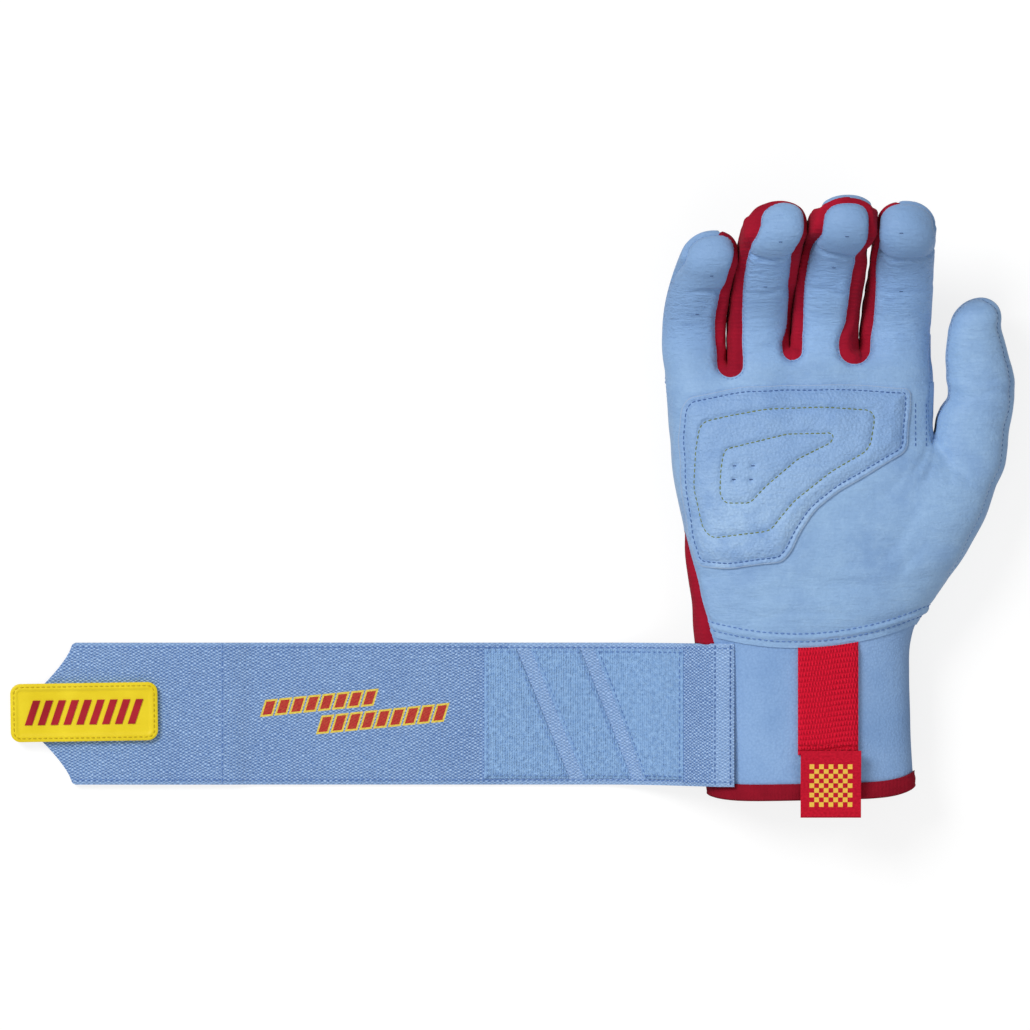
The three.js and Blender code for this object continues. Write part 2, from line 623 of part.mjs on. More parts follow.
// Half width of the strap at x: square, then hollowed corners down to the tongue under the badge
function strapHalfWidth(x) {
  if (x >= STRAP_CORNER_X) return STRAP_WIDTH / 2;
  const share = THREE.MathUtils.clamp((STRAP_CORNER_X - x) / (STRAP_CORNER_X - TONGUE_START_X), 0, 1);
  return lerp(STRAP_WIDTH, TONGUE_WIDTH, share ** 0.85) / 2;
}

// Folds of the strap and the sections between them; the last section runs on to the tongue
const folds = [];
STRAP_SECTIONS.reduce((s, { length }) => (folds.push(s + length), s + length), 0);

function addStrapSection(name, stations) {
  addMesh(name, "webbing", sheet(stations, [-1, 1], (s, v, layer) => {
    const half = strapHalfWidth(strapPath.getPointAt(Math.min(s / strapLength, 1)).x);
    return strapPoint(s, strapMidY + v * half, (layer - 0.5) * STRAP_THICK);
  }));
}

STRAP_SECTIONS.forEach(({ name, length, rows }, i) => {
  const from = i === 0 ? 0 : folds[i] - length + FOLD_GAP / 2;
  addStrapSection(name, steps(rows).map((t) => lerp(from, folds[i] - FOLD_GAP / 2, t)));
});
const lastFold = folds[folds.length - 1];
const cornerS = strapLengthAt(STRAP_CORNER_X);
const tongueS = strapLengthAt(TONGUE_START_X);
addStrapSection("strap_end", [
  lastFold + FOLD_GAP / 2,
  ...steps(5).map((t) => lerp(cornerS, tongueS, t)),
  strapLength,
]);

// Loop patches on the upper face, with slanted bands of bare webbing between them; the first is cut at the folds
const loopFoot = STRAP_THICK / 2 + SEAM_GAP;
const loopHalf = STRAP_WIDTH / 2 - LOOP_MARGIN;
const bandEdge = (x, shift) => (v) => strapLengthAt(x + shift + (v * LOOP_SLANT_RUN) / 2);

function addLoop(name, from, to, widest = 1) {
  const across = steps(4).map((t) => lerp(-1, widest, t));
  addMesh(name, "loop", sheet(steps(8), across, (u, v, layer) => strapPoint(
    lerp(from(v), to(v), u),
    strapMidY - v * loopHalf,
    loopFoot + layer * LOOP_THICK,
  )));
}

const [upperFold, lowerFold] = [folds[1], folds[2]];
const firstBand = bandEdge(LOOP_BAND_X[0], LOOP_BAND / 2);
const beforeLower = (v) => Math.min(firstBand(v), lowerFold - FOLD_GAP / 2);
const LOOP_WEDGE_SHARE = 0.3;
addLoop("loop_patch_shoulder", () => strapLengthAt(LOOP_START_X), () => upperFold - FOLD_GAP / 2);
addLoop("loop_patch_ulnar", () => upperFold + FOLD_GAP / 2, beforeLower);
addLoop("loop_patch_wedge", () => lowerFold + FOLD_GAP / 2, firstBand, LOOP_WEDGE_SHARE);
addLoop("loop_patch_mid", bandEdge(LOOP_BAND_X[0], -LOOP_BAND / 2), bandEdge(LOOP_BAND_X[1], LOOP_BAND / 2));
addLoop("loop_patch_far", bandEdge(LOOP_BAND_X[1], -LOOP_BAND / 2), () => strapLengthAt(LOOP_END_X));

// Hook patches under the strap end: the flat faces by which the strap fastens
const foldX = strapPath.getPointAt(lastFold / strapLength).x;

function addHook(name, from, to) {
  const patch = new THREE.BoxGeometry(from - to, STRAP_WIDTH - 2 * HOOK_MARGIN, HOOK_THICK);
  patch.translate((from + to) / 2, strapMidY, HOOK_THICK / 2);
  addMesh(name, "hook", patch);
}

addHook("hook_patch_inner", hookStartX, foldX + HOOK_FOLD_GAP / 2);
addHook("hook_patch_outer", foldX - HOOK_FOLD_GAP / 2, hookStartX - HOOK_LENGTH);

// Pull badge: a soft moulded plate with round corners and a raised rim, sewn over the tongue
function roundedPlate(length, width, corner) {
  const shape = new THREE.Shape();
  const [x, y] = [length / 2, width / 2];
  shape.moveTo(-x + corner, -y);
  shape.lineTo(x - corner, -y);
  shape.quadraticCurveTo(x, -y, x, -y + corner);
  shape.lineTo(x, y - corner);
  shape.quadraticCurveTo(x, y, x - corner, y);
  shape.lineTo(-x + corner, y);
  shape.quadraticCurveTo(-x, y, -x, y - corner);
  shape.lineTo(-x, -y + corner);
  shape.quadraticCurveTo(-x, -y, -x + corner, -y);
  return shape;
}

const BADGE_RIM = 2.2;
const BADGE_RECESS = 0.5;
const badgeFoot = onHook + STRAP_THICK / 2 + SEAM_GAP;
const badgeBody = new THREE.ExtrudeGeometry(roundedPlate(BADGE_LENGTH, BADGE_WIDTH, BADGE_CORNER), {
  depth: BADGE_THICK, bevelEnabled: false, curveSegments: 4,
});
const badgeField = new THREE.ExtrudeGeometry(
  roundedPlate(BADGE_LENGTH - 2 * BADGE_RIM, BADGE_WIDTH - 2 * BADGE_RIM, BADGE_CORNER - BADGE_RIM / 2),
  { depth: BADGE_THICK, bevelEnabled: false, curveSegments: 4 },
);
badgeField.translate(0, 0, BADGE_THICK - BADGE_RECESS);
const badge = addMesh("pull_badge", "badge", toGeometry(solid(badgeBody).subtract(solid(badgeField))));
badge.position.set(STRAP_END_X - BADGE_OVERHANG + BADGE_LENGTH / 2, strapMidY + 0.6, badgeFoot);

// Pull tab webbing, laid over the cuff below the palm seam
const tabTop = CUFF_TOP_Y - SEAM_GAP - 0.9;
const tabEnd = tabTop - TAB_WEB_LENGTH;
addMesh("pull_tab_webbing", "tab", sheet(
  steps(3).map((t) => lerp(tabEnd, tabTop, t)), steps(4),
  (y, v, layer) => {
    const x = TAB_X + lerp(-TAB_WIDTH, TAB_WIDTH, v) / 2;
    return new THREE.Vector3(x, y, topHeight(x, y) + SEAM_GAP + layer * TAB_WEB_THICK);
  },
));

// Woven label: a ribbon folded at its free end, lapped over the end of the webbing
const labelTop = tabEnd + LABEL_LAP;
const labelFoot = topHeight(TAB_X - 5, tabEnd) + 2 * SEAM_GAP + TAB_WEB_THICK;
const labelThick = 2 * LABEL_LEAF + SEAM_GAP;
const labelFold = -LABEL_LENGTH;
const labelShape = new THREE.Shape();
labelShape.moveTo(0, 0);
labelShape.lineTo(labelFold + labelThick / 2, 0);
labelShape.absarc(labelFold + labelThick / 2, labelThick / 2, labelThick / 2, -Math.PI / 2, Math.PI / 2, true);
labelShape.lineTo(0, labelThick);
labelShape.lineTo(0, labelThick - LABEL_LEAF);
labelShape.lineTo(labelFold + labelThick, labelThick - LABEL_LEAF);
labelShape.lineTo(labelFold + labelThick, LABEL_LEAF);
labelShape.lineTo(0, LABEL_LEAF);
labelShape.closePath();
const labelGeometry = new THREE.ExtrudeGeometry(labelShape, { depth: TAB_WIDTH, bevelEnabled: false, curveSegments: 3 });
const [xWay, yWay, zWay] = [new THREE.Vector3(1, 0, 0), new THREE.Vector3(0, 1, 0), new THREE.Vector3(0, 0, 1)];
labelGeometry.applyMatrix4(new THREE.Matrix4().makeBasis(yWay, zWay, xWay));
const label = addMesh("pull_tab_label", "tab", labelGeometry);
label.position.set(TAB_X - TAB_WIDTH / 2, labelTop, labelFoot);

// The part's origin is under the middle of its box, on the table
const box = new THREE.Box3().setFromObject(glove, true);
const middle = box.getCenter(new THREE.Vector3());
glove.position.set(-middle.x, -middle.y, -box.min.z);

export default glove;
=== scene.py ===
# Right-hand batting glove, lying palm up with its long wrist strap open to the left
import bpy
import numpy as np
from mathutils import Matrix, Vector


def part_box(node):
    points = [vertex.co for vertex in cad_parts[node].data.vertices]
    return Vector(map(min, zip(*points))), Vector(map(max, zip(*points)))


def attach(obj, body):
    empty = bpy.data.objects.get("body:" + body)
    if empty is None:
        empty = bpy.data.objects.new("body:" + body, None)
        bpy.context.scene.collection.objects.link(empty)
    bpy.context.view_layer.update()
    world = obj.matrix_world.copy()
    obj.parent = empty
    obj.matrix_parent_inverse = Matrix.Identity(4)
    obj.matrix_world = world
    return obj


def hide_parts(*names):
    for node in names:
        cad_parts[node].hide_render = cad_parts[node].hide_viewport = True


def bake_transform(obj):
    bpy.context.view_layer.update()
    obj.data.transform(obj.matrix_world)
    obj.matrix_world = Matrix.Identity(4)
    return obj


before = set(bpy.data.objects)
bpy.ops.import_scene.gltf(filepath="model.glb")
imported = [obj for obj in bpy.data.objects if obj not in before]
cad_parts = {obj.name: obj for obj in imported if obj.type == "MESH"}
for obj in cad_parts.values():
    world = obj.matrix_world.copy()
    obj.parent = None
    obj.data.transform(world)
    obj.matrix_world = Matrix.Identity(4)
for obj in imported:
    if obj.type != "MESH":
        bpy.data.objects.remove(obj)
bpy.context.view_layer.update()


# Table, light and camera
# The glove lies on a pale table under soft studio light. The camera hangs high above it and looks straight
# down, with the fingertips towards the top of the picture and the strap running out to the left.
PICTURE_WIDTH = 0.36874
PICTURE_CENTRE = (0.0017, -0.0024)
CAMERA_HEIGHT = 3.0
SENSOR_WIDTH = 36.0
LAMPS = {
    # name: place, power in watts, width in metres
    "key_lamp": ((-1.2, 1.0, 1.7), 36.0, 1.1),
    "fill_lamp": ((1.3, -0.5, 1.6), 6.0, 1.5),
    "front_lamp": ((-0.3, -1.5, 1.3), 5.0, 1.4),
}
SKY_LEVEL = 0.36
TABLE_EDGE = 6.0
TABLE_SHADES = ((0.24, 0.24, 0.24, 1.0), (0.26, 0.26, 0.26, 1.0))
TABLE_GLOW = 0.79
WHITE = (1.0, 1.0, 1.0, 1.0)
BLACK = (0.0, 0.0, 0.0, 1.0)

scene = bpy.context.scene
scene.view_settings.view_transform = "Standard"
camera_data = bpy.data.cameras.new("camera")
camera_data.sensor_width = SENSOR_WIDTH
camera_data.lens = SENSOR_WIDTH * CAMERA_HEIGHT / PICTURE_WIDTH
camera = bpy.data.objects.new("camera", camera_data)
camera.location = (*PICTURE_CENTRE, CAMERA_HEIGHT)
scene.collection.objects.link(camera)
scene.camera = camera

for lamp_name, (place, power, width) in LAMPS.items():
    lamp_data = bpy.data.lights.new(lamp_name, "AREA")
    lamp_data.shape = "DISK"
    lamp_data.energy = power
    lamp_data.size = width
    lamp = bpy.data.objects.new(lamp_name, lamp_data)
    lamp.location = place
    way = -np.array(lamp.location)
    tilt = np.arctan2(np.hypot(way[0], way[1]), -way[2])
    lamp.rotation_euler = (tilt, 0.0, np.arctan2(way[1], way[0]) - np.pi / 2)
    scene.collection.objects.link(lamp)


def plug(tree, made, inputs):
    """Sets a node's inputs, each to a value or to a socket that is linked."""
    for key, value in inputs.items():
        if isinstance(value, bpy.types.NodeSocket):
            tree.links.new(value, made.inputs[key])
        else:
            made.inputs[key].default_value = value


def node(tree, kind, inputs=None, **settings):
    """Adds a node with its settings and inputs."""
    made = tree.nodes.new(kind)
    for key, value in settings.items():
        setattr(made, key, value)
    plug(tree, made, inputs or {})
    return made


def sums(tree, operation, *values):
    """A math node on sockets or numbers."""
    return node(tree, "ShaderNodeMath", dict(enumerate(values)), operation=operation).outputs[0]


class Finish:
    """A material in the making: patterns are laid over one another as its tone and embossed as its relief."""

    # a band pattern's scale times the width of its bands
    BAND_SCALE = 0.31831

    def __init__(self, name, uv=False):
        self.material = bpy.data.materials.new(name)
        self.material.use_nodes = True
        self.tree = self.material.node_tree
        self.shader = self.tree.nodes["Principled BSDF"]
        self.relief = None
        if uv:
            self.place = node(self.tree, "ShaderNodeUVMap", uv_map="UVMap").outputs[0]
        else:
            self.place = node(self.tree, "ShaderNodeTexCoord").outputs["Object"]

    def calc(self, operation, *values):
        """A sum on sockets or numbers."""
        return sums(self.tree, operation, *values)

    def noise(self, scale, detail, roughness=0.5, at=None):
        """A cloudy pattern."""
        at = self.place if at is None else at
        given = {"Vector": at, "Scale": scale, "Detail": detail, "Roughness": roughness}
        return node(self.tree, "ShaderNodeTexNoise", given).outputs["Fac"]

    def cells(self, scale):
        """A pattern of pebbles."""
        given = {"Vector": self.place, "Scale": scale}
        return node(self.tree, "ShaderNodeTexVoronoi", given).outputs["Distance"]

    def bands(self, period, direction, distortion, detail=2.0, detail_scale=1.0):
        """A pattern of ribs."""
        given = {"Vector": self.place, "Scale": self.BAND_SCALE / period, "Distortion": distortion}
        given.update({"Detail": detail, "Detail Scale": detail_scale})
        return node(self.tree, "ShaderNodeTexWave", given, bands_direction=direction).outputs["Fac"]

    def axes(self):
        """The two coordinates of a flat piece."""
        parts = node(self.tree, "ShaderNodeSeparateXYZ", {"Vector": self.place}).outputs
        return parts["X"], parts["Y"]

    def ramp(self, factor, dark, light, low=0.3, high=0.7):
        """A colour that runs between two tones as a pattern goes from low to high."""
        made = node(self.tree, "ShaderNodeValToRGB", {"Fac": factor})
        for stop, place, colour in zip(made.color_ramp.elements, (low, high), (dark, light)):
            stop.position = place
            stop.color = colour
        return made.outputs["Color"]

    def mask(self, factor, nothing, full):
        """A mask that goes from nothing to full between two levels of a pattern."""
        if nothing < full:
            return self.ramp(factor, BLACK, WHITE, nothing, full)
        return self.ramp(factor, WHITE, BLACK, full, nothing)

    def lay(self, colour, mask, amount=1.0):
        """Lays a colour over the tone, as strongly as a mask says."""
        share = self.calc("MULTIPLY", mask, amount)
        given = {0: share, 6: self.tone, 7: colour}
        self.tone = node(self.tree, "ShaderNodeMix", given, data_type="RGBA").outputs[2]

    def emboss(self, height, distance, strength):
        """Adds relief from a pattern."""
        given = {"Height": height, "Distance": distance, "Strength": strength}
        if self.relief is not None:
            given["Normal"] = self.relief
        self.relief = node(self.tree, "ShaderNodeBump", given).outputs["Normal"]

    def done(self, rough, specular=0.5, sheen=0.0):
        """The finished material."""
        given = {"Base Color": self.tone, "Roughness": rough}
        given.update({"Specular IOR Level": specular, "Sheen Weight": sheen})
        if self.relief is not None:
            given["Normal"] = self.relief
        plug(self.tree, self.shader, given)
        return self.material


sky = bpy.data.worlds.new("studio")
scene.world = sky
sky.use_nodes = True
sky_path = node(sky.node_tree, "ShaderNodeLightPath")
sky_given = {"Factor": sky_path.outputs["Is Camera Ray"], "A": SKY_LEVEL, "B": 1.0}
sky_seen = node(sky.node_tree, "ShaderNodeMix", sky_given).outputs["Result"]
plug(sky.node_tree, sky.node_tree.nodes["Background"], {"Color": WHITE, "Strength": sky_seen})

# The paper glows a little where the camera sees it, so that it reads white and keeps a soft shadow.
paper = Finish("table_paper")
fibre = node(paper.tree, "ShaderNodeTexNoise", {"Scale": 60.0, "Detail": 3.0})
paper.tone = paper.ramp(fibre.outputs["Fac"], *TABLE_SHADES, 0.0, 1.0)
path = node(paper.tree, "ShaderNodeLightPath").outputs
seen = paper.calc("MAXIMUM", path["Is Camera Ray"], path["Is Glossy Ray"])
seen = paper.calc("MAXIMUM", seen, path["Is Transmission Ray"])
glow = paper.calc("MULTIPLY", seen, TABLE_GLOW)
plug(paper.tree, paper.shader, {"Emission Strength": glow, "Emission Color": WHITE})

table_mesh = bpy.data.meshes.new("table")
table_corners = [(x * TABLE_EDGE, y * TABLE_EDGE, 0) for x, y in ((-1, -1), (1, -1), (1, 1), (-1, 1))]
table_mesh.from_pydata(table_corners, [], [(0, 1, 2, 3)])
table_mesh.materials.append(paper.done(0.9, 0.1))
table_top = bpy.data.objects.new("table", table_mesh)
scene.collection.objects.link(table_top)


# Hand shape
# Leather gloves are cut flat and shaped by sewing. Here the sewn hand is one smooth form, a lofted palm with
# four curled fingers and a thumb drawn into it, and every panel below is cut out of it along its seams.
GRID = 0.8
FINGER_CUT = 149.4
FINGER_SQUARENESS = 2.3
FINGER_FILLET = 5.0
FINGER_BASE = (149.45, 14.25)
FINGER_ROOT = -15.0
THUMB_BASE = 124.8
THUMB_ROOT = -34.0
PALM_ROUNDING = 7.0
PRESSED_FROM = 165.0
PRESSED_GAP = 0.15
CURL_EASE = 9.0
KNUCKLE_EASE = 18
DIGIT_STEP = 0.5
PRESSED_REACH = 4
FINGER_NEAR = (30, 126)
THUMB_NEAR = (15, 72)
CROTCH_FILLET = 2.2
THUMB_FILLET = 7.0
THUMB_FILLET_ENDS = (108, 126)
HAND_STATIONS = np.array([
    # along the hand, little finger edge, thumb edge, thickness, lift off the table, squareness
    [-12.0, -35.8, 39.0, 28.6, 1.4, 2.3],
    [1.2, -36.0, 38.8, 28.8, 1.3, 2.3],
    [26.2, -37.2, 37.2, 30.0, 0.3, 2.3],
    [46.0, -38.6, 37.0, 30.6, 0.2, 2.35],
    [57.2, -39.8, 37.6, 31.0, 0.2, 2.4],
    [63.0, -40.4, 39.2, 31.6, 0.2, 2.5],
    [70.2, -40.5, 44.0, 32.3, 0.2, 2.6],
    [78.5, -41.8, 48.5, 32.6, 0.2, 2.7],
    [89.2, -43.6, 53.6, 32.8, 0.2, 2.8],
    [104.0, -45.4, 61.2, 32.3, 0.2, 3.0],
    [116.0, -47.4, 58.0, 31.6, 0.2, 3.1],
    [128.0, -48.5, 45.6, 30.4, 0.2, 3.2],
    [149.3, -49.3, 43.6, 28.3, 0.2, 3.2],
    [175.0, -49.3, 43.6, 27.0, 0.2, 3.2],
])
WEBS = {
    # web: place across the hand, sewn bottom of the slot, its radius, end of the palm shape
    "pinky_ring": (-27.7, 151.0, 4.1, 153.5),
    "ring_middle": (-5.7, 157.5, 3.0, 159.5),
    "middle_index": (16.3, 156.0, 5.2, 158.5),
}
# The frame's millimetres: the pull tab gives the middle, the hem binding the hem and the strap the table.
TAB_MIDDLE = 6.8
HEM = 1.2
tab_low, tab_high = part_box("pull_tab_webbing")
glove_origin = np.array([
    (tab_low.x + tab_high.x) * 500 - TAB_MIDDLE,
    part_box("hem_binding")[0].y * 1000 - HEM,
    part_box("strap_radial_lower")[0].z * 1000,
])


def in_frame(points):
    """Glove millimetres to the frame's metres."""
    return (np.asarray(points, float) + glove_origin) * 0.001


def ease(value, low, high):
    """Smooth step from 0 at low to 1 at high."""
    share = np.clip((value - low) / (high - low), 0.0, 1.0)
    return share * share * (3.0 - 2.0 * share)


def through(knots, values):
    """A smooth curve through values at knots, level past its ends."""
    knots = np.asarray(knots, float)
    values = np.asarray(values, float)
    slopes = np.gradient(values, knots)

    def at(place):
        place = np.clip(place, knots[0], knots[-1])
        i = np.clip(np.searchsorted(knots, place, side="right") - 1, 0, len(knots) - 2)
        gap = knots[i + 1] - knots[i]
        t = (place - knots[i]) / gap
        rise = values[i + 1] - values[i]
        first = gap * slopes[i]
        last = gap * slopes[i + 1]
        return values[i] + t * (first + t * (3 * rise - 2 * first - last + t * (first + last - 2 * rise)))

    return at


hand_edges = [through(HAND_STATIONS[:, 0], HAND_STATIONS[:, column]) for column in range(1, 6)]
web_x = [web[0] for web in WEBS.values()]
palm_end = through([-52, *web_x, 46], [151.0, *[web[3] for web in WEBS.values()], 154.0])


def soft_union(first, second, width):
    """Union of two distance fields with a fillet."""
    share = np.clip(0.5 + 0.5 * (second - first) / width, 0.0, 1.0)
    return second * (1 - share) + first * share - width * share * (1 - share)


def loft_distance(points):
    """Distance to the lofted wrist and palm."""
    x, y, z = points.T
    left, right, thick, lift, power = [edge(y) for edge in hand_edges]
    half = (right - left) / 2
    across = np.abs(x - (left + right) / 2) / half
    up = np.abs(z - thick / 2 - lift) / (thick / 2)
    reach = np.maximum((across**power + up**power) ** (1 / power), 0.05)
    slope = np.hypot((across / reach) ** (power - 1) / half, (up / reach) ** (power - 1) / (thick / 2))
    return (reach - 1) / np.maximum(slope, 0.01)


def palm_distance(points):
    """Distance to the palm, rounded off at the webs."""
    past = points[:, 1] - palm_end(points[:, 0])
    return -soft_union(-loft_distance(points), -past, PALM_ROUNDING)


class Digit:
    """A finger or thumb: a planar curl with a squarish section and a domed tip."""

    def __init__(self, base, axis, half_width, half_depth, lengths, pitches, start, tip_lean=0.0):
        self.base = base
        self.axis = axis
        self.tip_lean = tip_lean
        self.length = sum(lengths)
        self.start = start
        self.step = np.arange(start, self.length + DIGIT_STEP / 2, DIGIT_STEP)
        pitch = pitches[0] * ease(self.step, 0, KNUCKLE_EASE)
        for i in (1, 2):
            bend = sum(lengths[:i])
            pitch += (pitches[i] - pitches[i - 1]) * ease(self.step, bend - CURL_EASE, bend + CURL_EASE)
        self.pitch = np.radians(pitch)
        zero = np.argmin(np.abs(self.step))
        sums_along = []
        for part in (np.cos(self.pitch), np.sin(self.pitch)):
            total = np.concatenate([[0], np.cumsum(DIGIT_STEP / 2 * (part[1:] + part[:-1]))])
            sums_along.append(total - total[zero])
        self.run, self.rise = sums_along
        self.half_width = half_width
        self.half_depth = half_depth

    def along(self, points):
        """Length along the digit, offset to the side and to the palm side, and reach past the tip."""
        ahead = points[:, 1] - self.base[0]
        above = points[:, 2] - self.base[1]
        nearest = np.empty(len(points), int)
        for first in range(0, len(points), 20000):
            part = slice(first, first + 20000)
            gap = (ahead[part, None] - self.run) ** 2 + (above[part, None] - self.rise) ** 2
            nearest[part] = gap.argmin(1)
        cosine = np.cos(self.pitch[nearest])
        sine = np.sin(self.pitch[nearest])
        over = ahead - self.run[nearest]
        up = above - self.rise[nearest]
        length = self.step[nearest] + over * cosine + up * sine
        depth = up * cosine - over * sine
        side = points[:, 0] - self.axis(self.run[nearest] + (length - self.step[nearest]) * cosine)
        past = np.maximum(length - self.length, 0)
        side = side - self.tip_lean * past
        return np.clip(length, self.start, self.length), side, depth, past, np.maximum(self.start - length, 0)

    def distance(self, points):
        """Distance to the digit's skin."""
        length, side, depth, past, before = self.along(points)
        share = np.clip(length / self.length, 0, 1)
        wide = self.half_width(share)
        deep = self.half_depth(share)
        power = FINGER_SQUARENESS
        ring = (np.abs(side / wide) ** power + np.abs(depth / deep) ** power) ** (2 / power)
        tip = 0.5 * (wide + deep)
        reach = np.sqrt(ring + ((past + before) / tip) ** 2) + 1e-6
        return np.sqrt(side**2 + depth**2 + (past + before) ** 2) * (1 - 1 / reach)


def finger(x, half_width, half_depth, lengths, pitches, lean, curl, tip_lean):
    """One of the four fingers, from its base on the knuckle line."""
    return Digit(
        FINGER_BASE,
        lambda run: x + lean * run + curl * np.maximum(run, 0) ** 2,
        through([0, 0.5, 1], half_width),
        through([0, 0.5, 1], [half_depth[0], 0.5 * sum(half_depth), half_depth[1]]),
        lengths,
        pitches,
        FINGER_ROOT,
        tip_lean,
    )


FINGER_SHAPES = {
    # place across, half widths and half depths from base to tip, lengths and pitches from bend to bend, lean
    # and curl of the axis, lean of the tip
    "pinky": (-39.0, (10.9, 10.9, 9.6), (11, 8.6), (22, 18.0, 10.4), (6, 32, 50), -0.215, 0.0065, 0.08),
    "ring": (-16.9, (10.7, 10.65, 9.9), (12.6, 9.2), (27, 24.6, 14.2), (9, 38, 60), -0.081, 0.003, 0.34),
    "middle": (6.5, (11.6, 11.4, 10.8), (13, 9.4), (27, 27.2, 16.2), (9, 40, 62), -0.1, 0.0037, -0.06),
    "index": (31.4, (12.2, 12.0, 10.0), (12, 9.4), (26, 26, 14.8), (10, 40, 60), -0.02, 0.0013, -0.2),
}
DIGITS = {name: finger(*shape) for name, shape in FINGER_SHAPES.items()}
FINGERS = list(DIGITS)
thumb_middle = through(
    [-45, -20, -12.8, -5.8, 0, 7.7, 13, 16.6, 18.4, 22, 25.6, 29.1, 32.7, 36.3, 39.9, 43.5, 47, 50.6, 56],
    [
        37, 49.6, 53.4, 56.6, 57.6, 58.4, 59.4, 60.6, 61.4, 61.7,
        61.4, 61.0, 60.3, 59.9, 59.6, 59.3, 59.8, 60.6, 61.6,
    ],
)
DIGITS["thumb"] = Digit(
    (THUMB_BASE, 15.6),
    thumb_middle,
    through(
        [0, 0.17, 0.28, 0.36, 0.4, 0.48, 0.56, 0.63, 0.71, 0.79, 0.87, 1],
        [13.3, 13.2, 13.2, 12.5, 11.9, 11.7, 12.0, 11.7, 11.3, 10.7, 10.0, 8.8],
    ),
    through([0, 0.5, 1], [12.9, 11.4, 9.0]),
    (16, 16, 14),
    (6, 9, 12),
    THUMB_ROOT,
)


def thumb_fillet(points):
    """The thumb runs softly into the palm and meets it sharply at the crotch."""
    return CROTCH_FILLET + THUMB_FILLET * (1 - ease(points[:, 1], *THUMB_FILLET_ENDS))


def finger_distance(name, points):
    """Distance to one finger with its share of the palm; past the slots, fingers press flat together."""
    own = DIGITS[name].distance(points)
    made = soft_union(palm_distance(points), own, FINGER_FILLET)
    order = FINGERS.index(name)
    near = (points[:, 1] > PRESSED_FROM) & (np.abs(own) < PRESSED_REACH)
    if near.any():
        for other in FINGERS[max(order - 1, 0):order] + FINGERS[order + 1:order + 2]:
            pressed = PRESSED_GAP + 0.5 * (own[near] - DIGITS[other].distance(points[near]))
            made[near] = np.maximum(made[near], pressed)
    return made


def hand_distance(points):
    """Distance to the whole hand."""
    palm = palm_distance(points)
    best = palm.copy()
    for name, digit in DIGITS.items():
        if name == "thumb":
            near = (points[:, 1] > THUMB_NEAR[1]) & (points[:, 0] > THUMB_NEAR[0])
        else:
            near = (points[:, 1] > FINGER_NEAR[1]) & (np.abs(points[:, 0] - digit.axis(0)) < FINGER_NEAR[0])
        if near.any():
            width = thumb_fillet(points[near]) if name == "thumb" else FINGER_FILLET
            best[near] = np.minimum(best[near], soft_union(palm[near], digit.distance(points[near]), width))
    return best


def thumb_distance(points):
    """Distance to the thumb with its share of the palm."""
    return soft_union(palm_distance(points), DIGITS["thumb"].distance(points), thumb_fillet(points))


def slope_of(distance, points):
    """Gradient of a distance field."""
    small = 0.05
    ways = small * np.eye(3)
    return np.stack([(distance(points + way) - distance(points - way)) / (2 * small) for way in ways], 1)


def lattice(*axes):
    """Points at every crossing of the steps of some axes."""
    return np.stack(np.meshgrid(*axes, indexing="ij"), -1).reshape(-1, len(axes))


def skin(low, high, distance):
    """Triangle mesh of a distance field on one lattice shared by all pieces, drawn onto the surface."""
    low = np.floor(np.asarray(low) / GRID).astype(int)
    counts = np.ceil(np.asarray(high) / GRID).astype(int) - low + 1
    axes = [GRID * (low[i] + np.arange(counts[i])) for i in range(3)]
    values = np.concatenate([distance(lot) for lot in np.array_split(lattice(*axes), 24)]).reshape(counts)
    total = np.zeros((*(counts - 1), 3))
    hits = np.zeros(counts - 1)
    crossings = []
    for axis in range(3):
        left = np.take(values, np.arange(counts[axis] - 1), axis)
        right = np.take(values, np.arange(1, counts[axis]), axis)
        cross = (left < 0) != (right < 0)
        crossings.append((cross, left < 0))
        share = np.where(cross, left / np.where(cross, left - right, 1), 0)
        first, second = [i for i in range(3) if i != axis]
        for d in (0, 1):
            for e in (0, 1):
                pick = [slice(None)] * 3
                pick[first] = slice(d, counts[first] - 1 + d)
                pick[second] = slice(e, counts[second] - 1 + e)
                here = cross[tuple(pick)]
                total[..., axis] += share[tuple(pick)]
                total[..., first] += d * here
                total[..., second] += e * here
                hits += here
    used = hits > 0
    number = np.full(counts - 1, -1)
    number[used] = np.arange(used.sum())
    points = GRID * (low + np.argwhere(used) + total[used] / hits[used][:, None])
    faces = []
    for axis in range(3):
        cross, outward = crossings[axis]
        first, second = (axis + 1) % 3, (axis + 2) % 3
        spot = np.argwhere(cross)
        inner = (spot[:, first] > 0) & (spot[:, second] > 0)
        inner &= (spot[:, first] < counts[first] - 1) & (spot[:, second] < counts[second] - 1)
        spot = spot[inner]
        ring = []
        for d, e in ((-1, -1), (0, -1), (0, 0), (-1, 0)):
            cell = spot.copy()
            cell[:, first] += d
            cell[:, second] += e
            ring.append(number[tuple(cell.T)])
        ring = np.stack(ring, 1)
        turn = ~outward[tuple(spot.T)]
        ring[turn] = ring[turn][:, ::-1]
        faces += [ring[:, [0, 1, 2]], ring[:, [0, 2, 3]]]
    for _ in range(3):
        slope = slope_of(distance, points)
        step = distance(points)[:, None] * slope / np.maximum((slope**2).sum(1), 0.05)[:, None]
        points = points - np.clip(step, -0.5 * GRID, 0.5 * GRID)
    slope = slope_of(distance, points)
    normal = slope / np.linalg.norm(slope, axis=1)[:, None]
    return {"at": points, "normal": normal, "faces": np.concatenate(faces)}


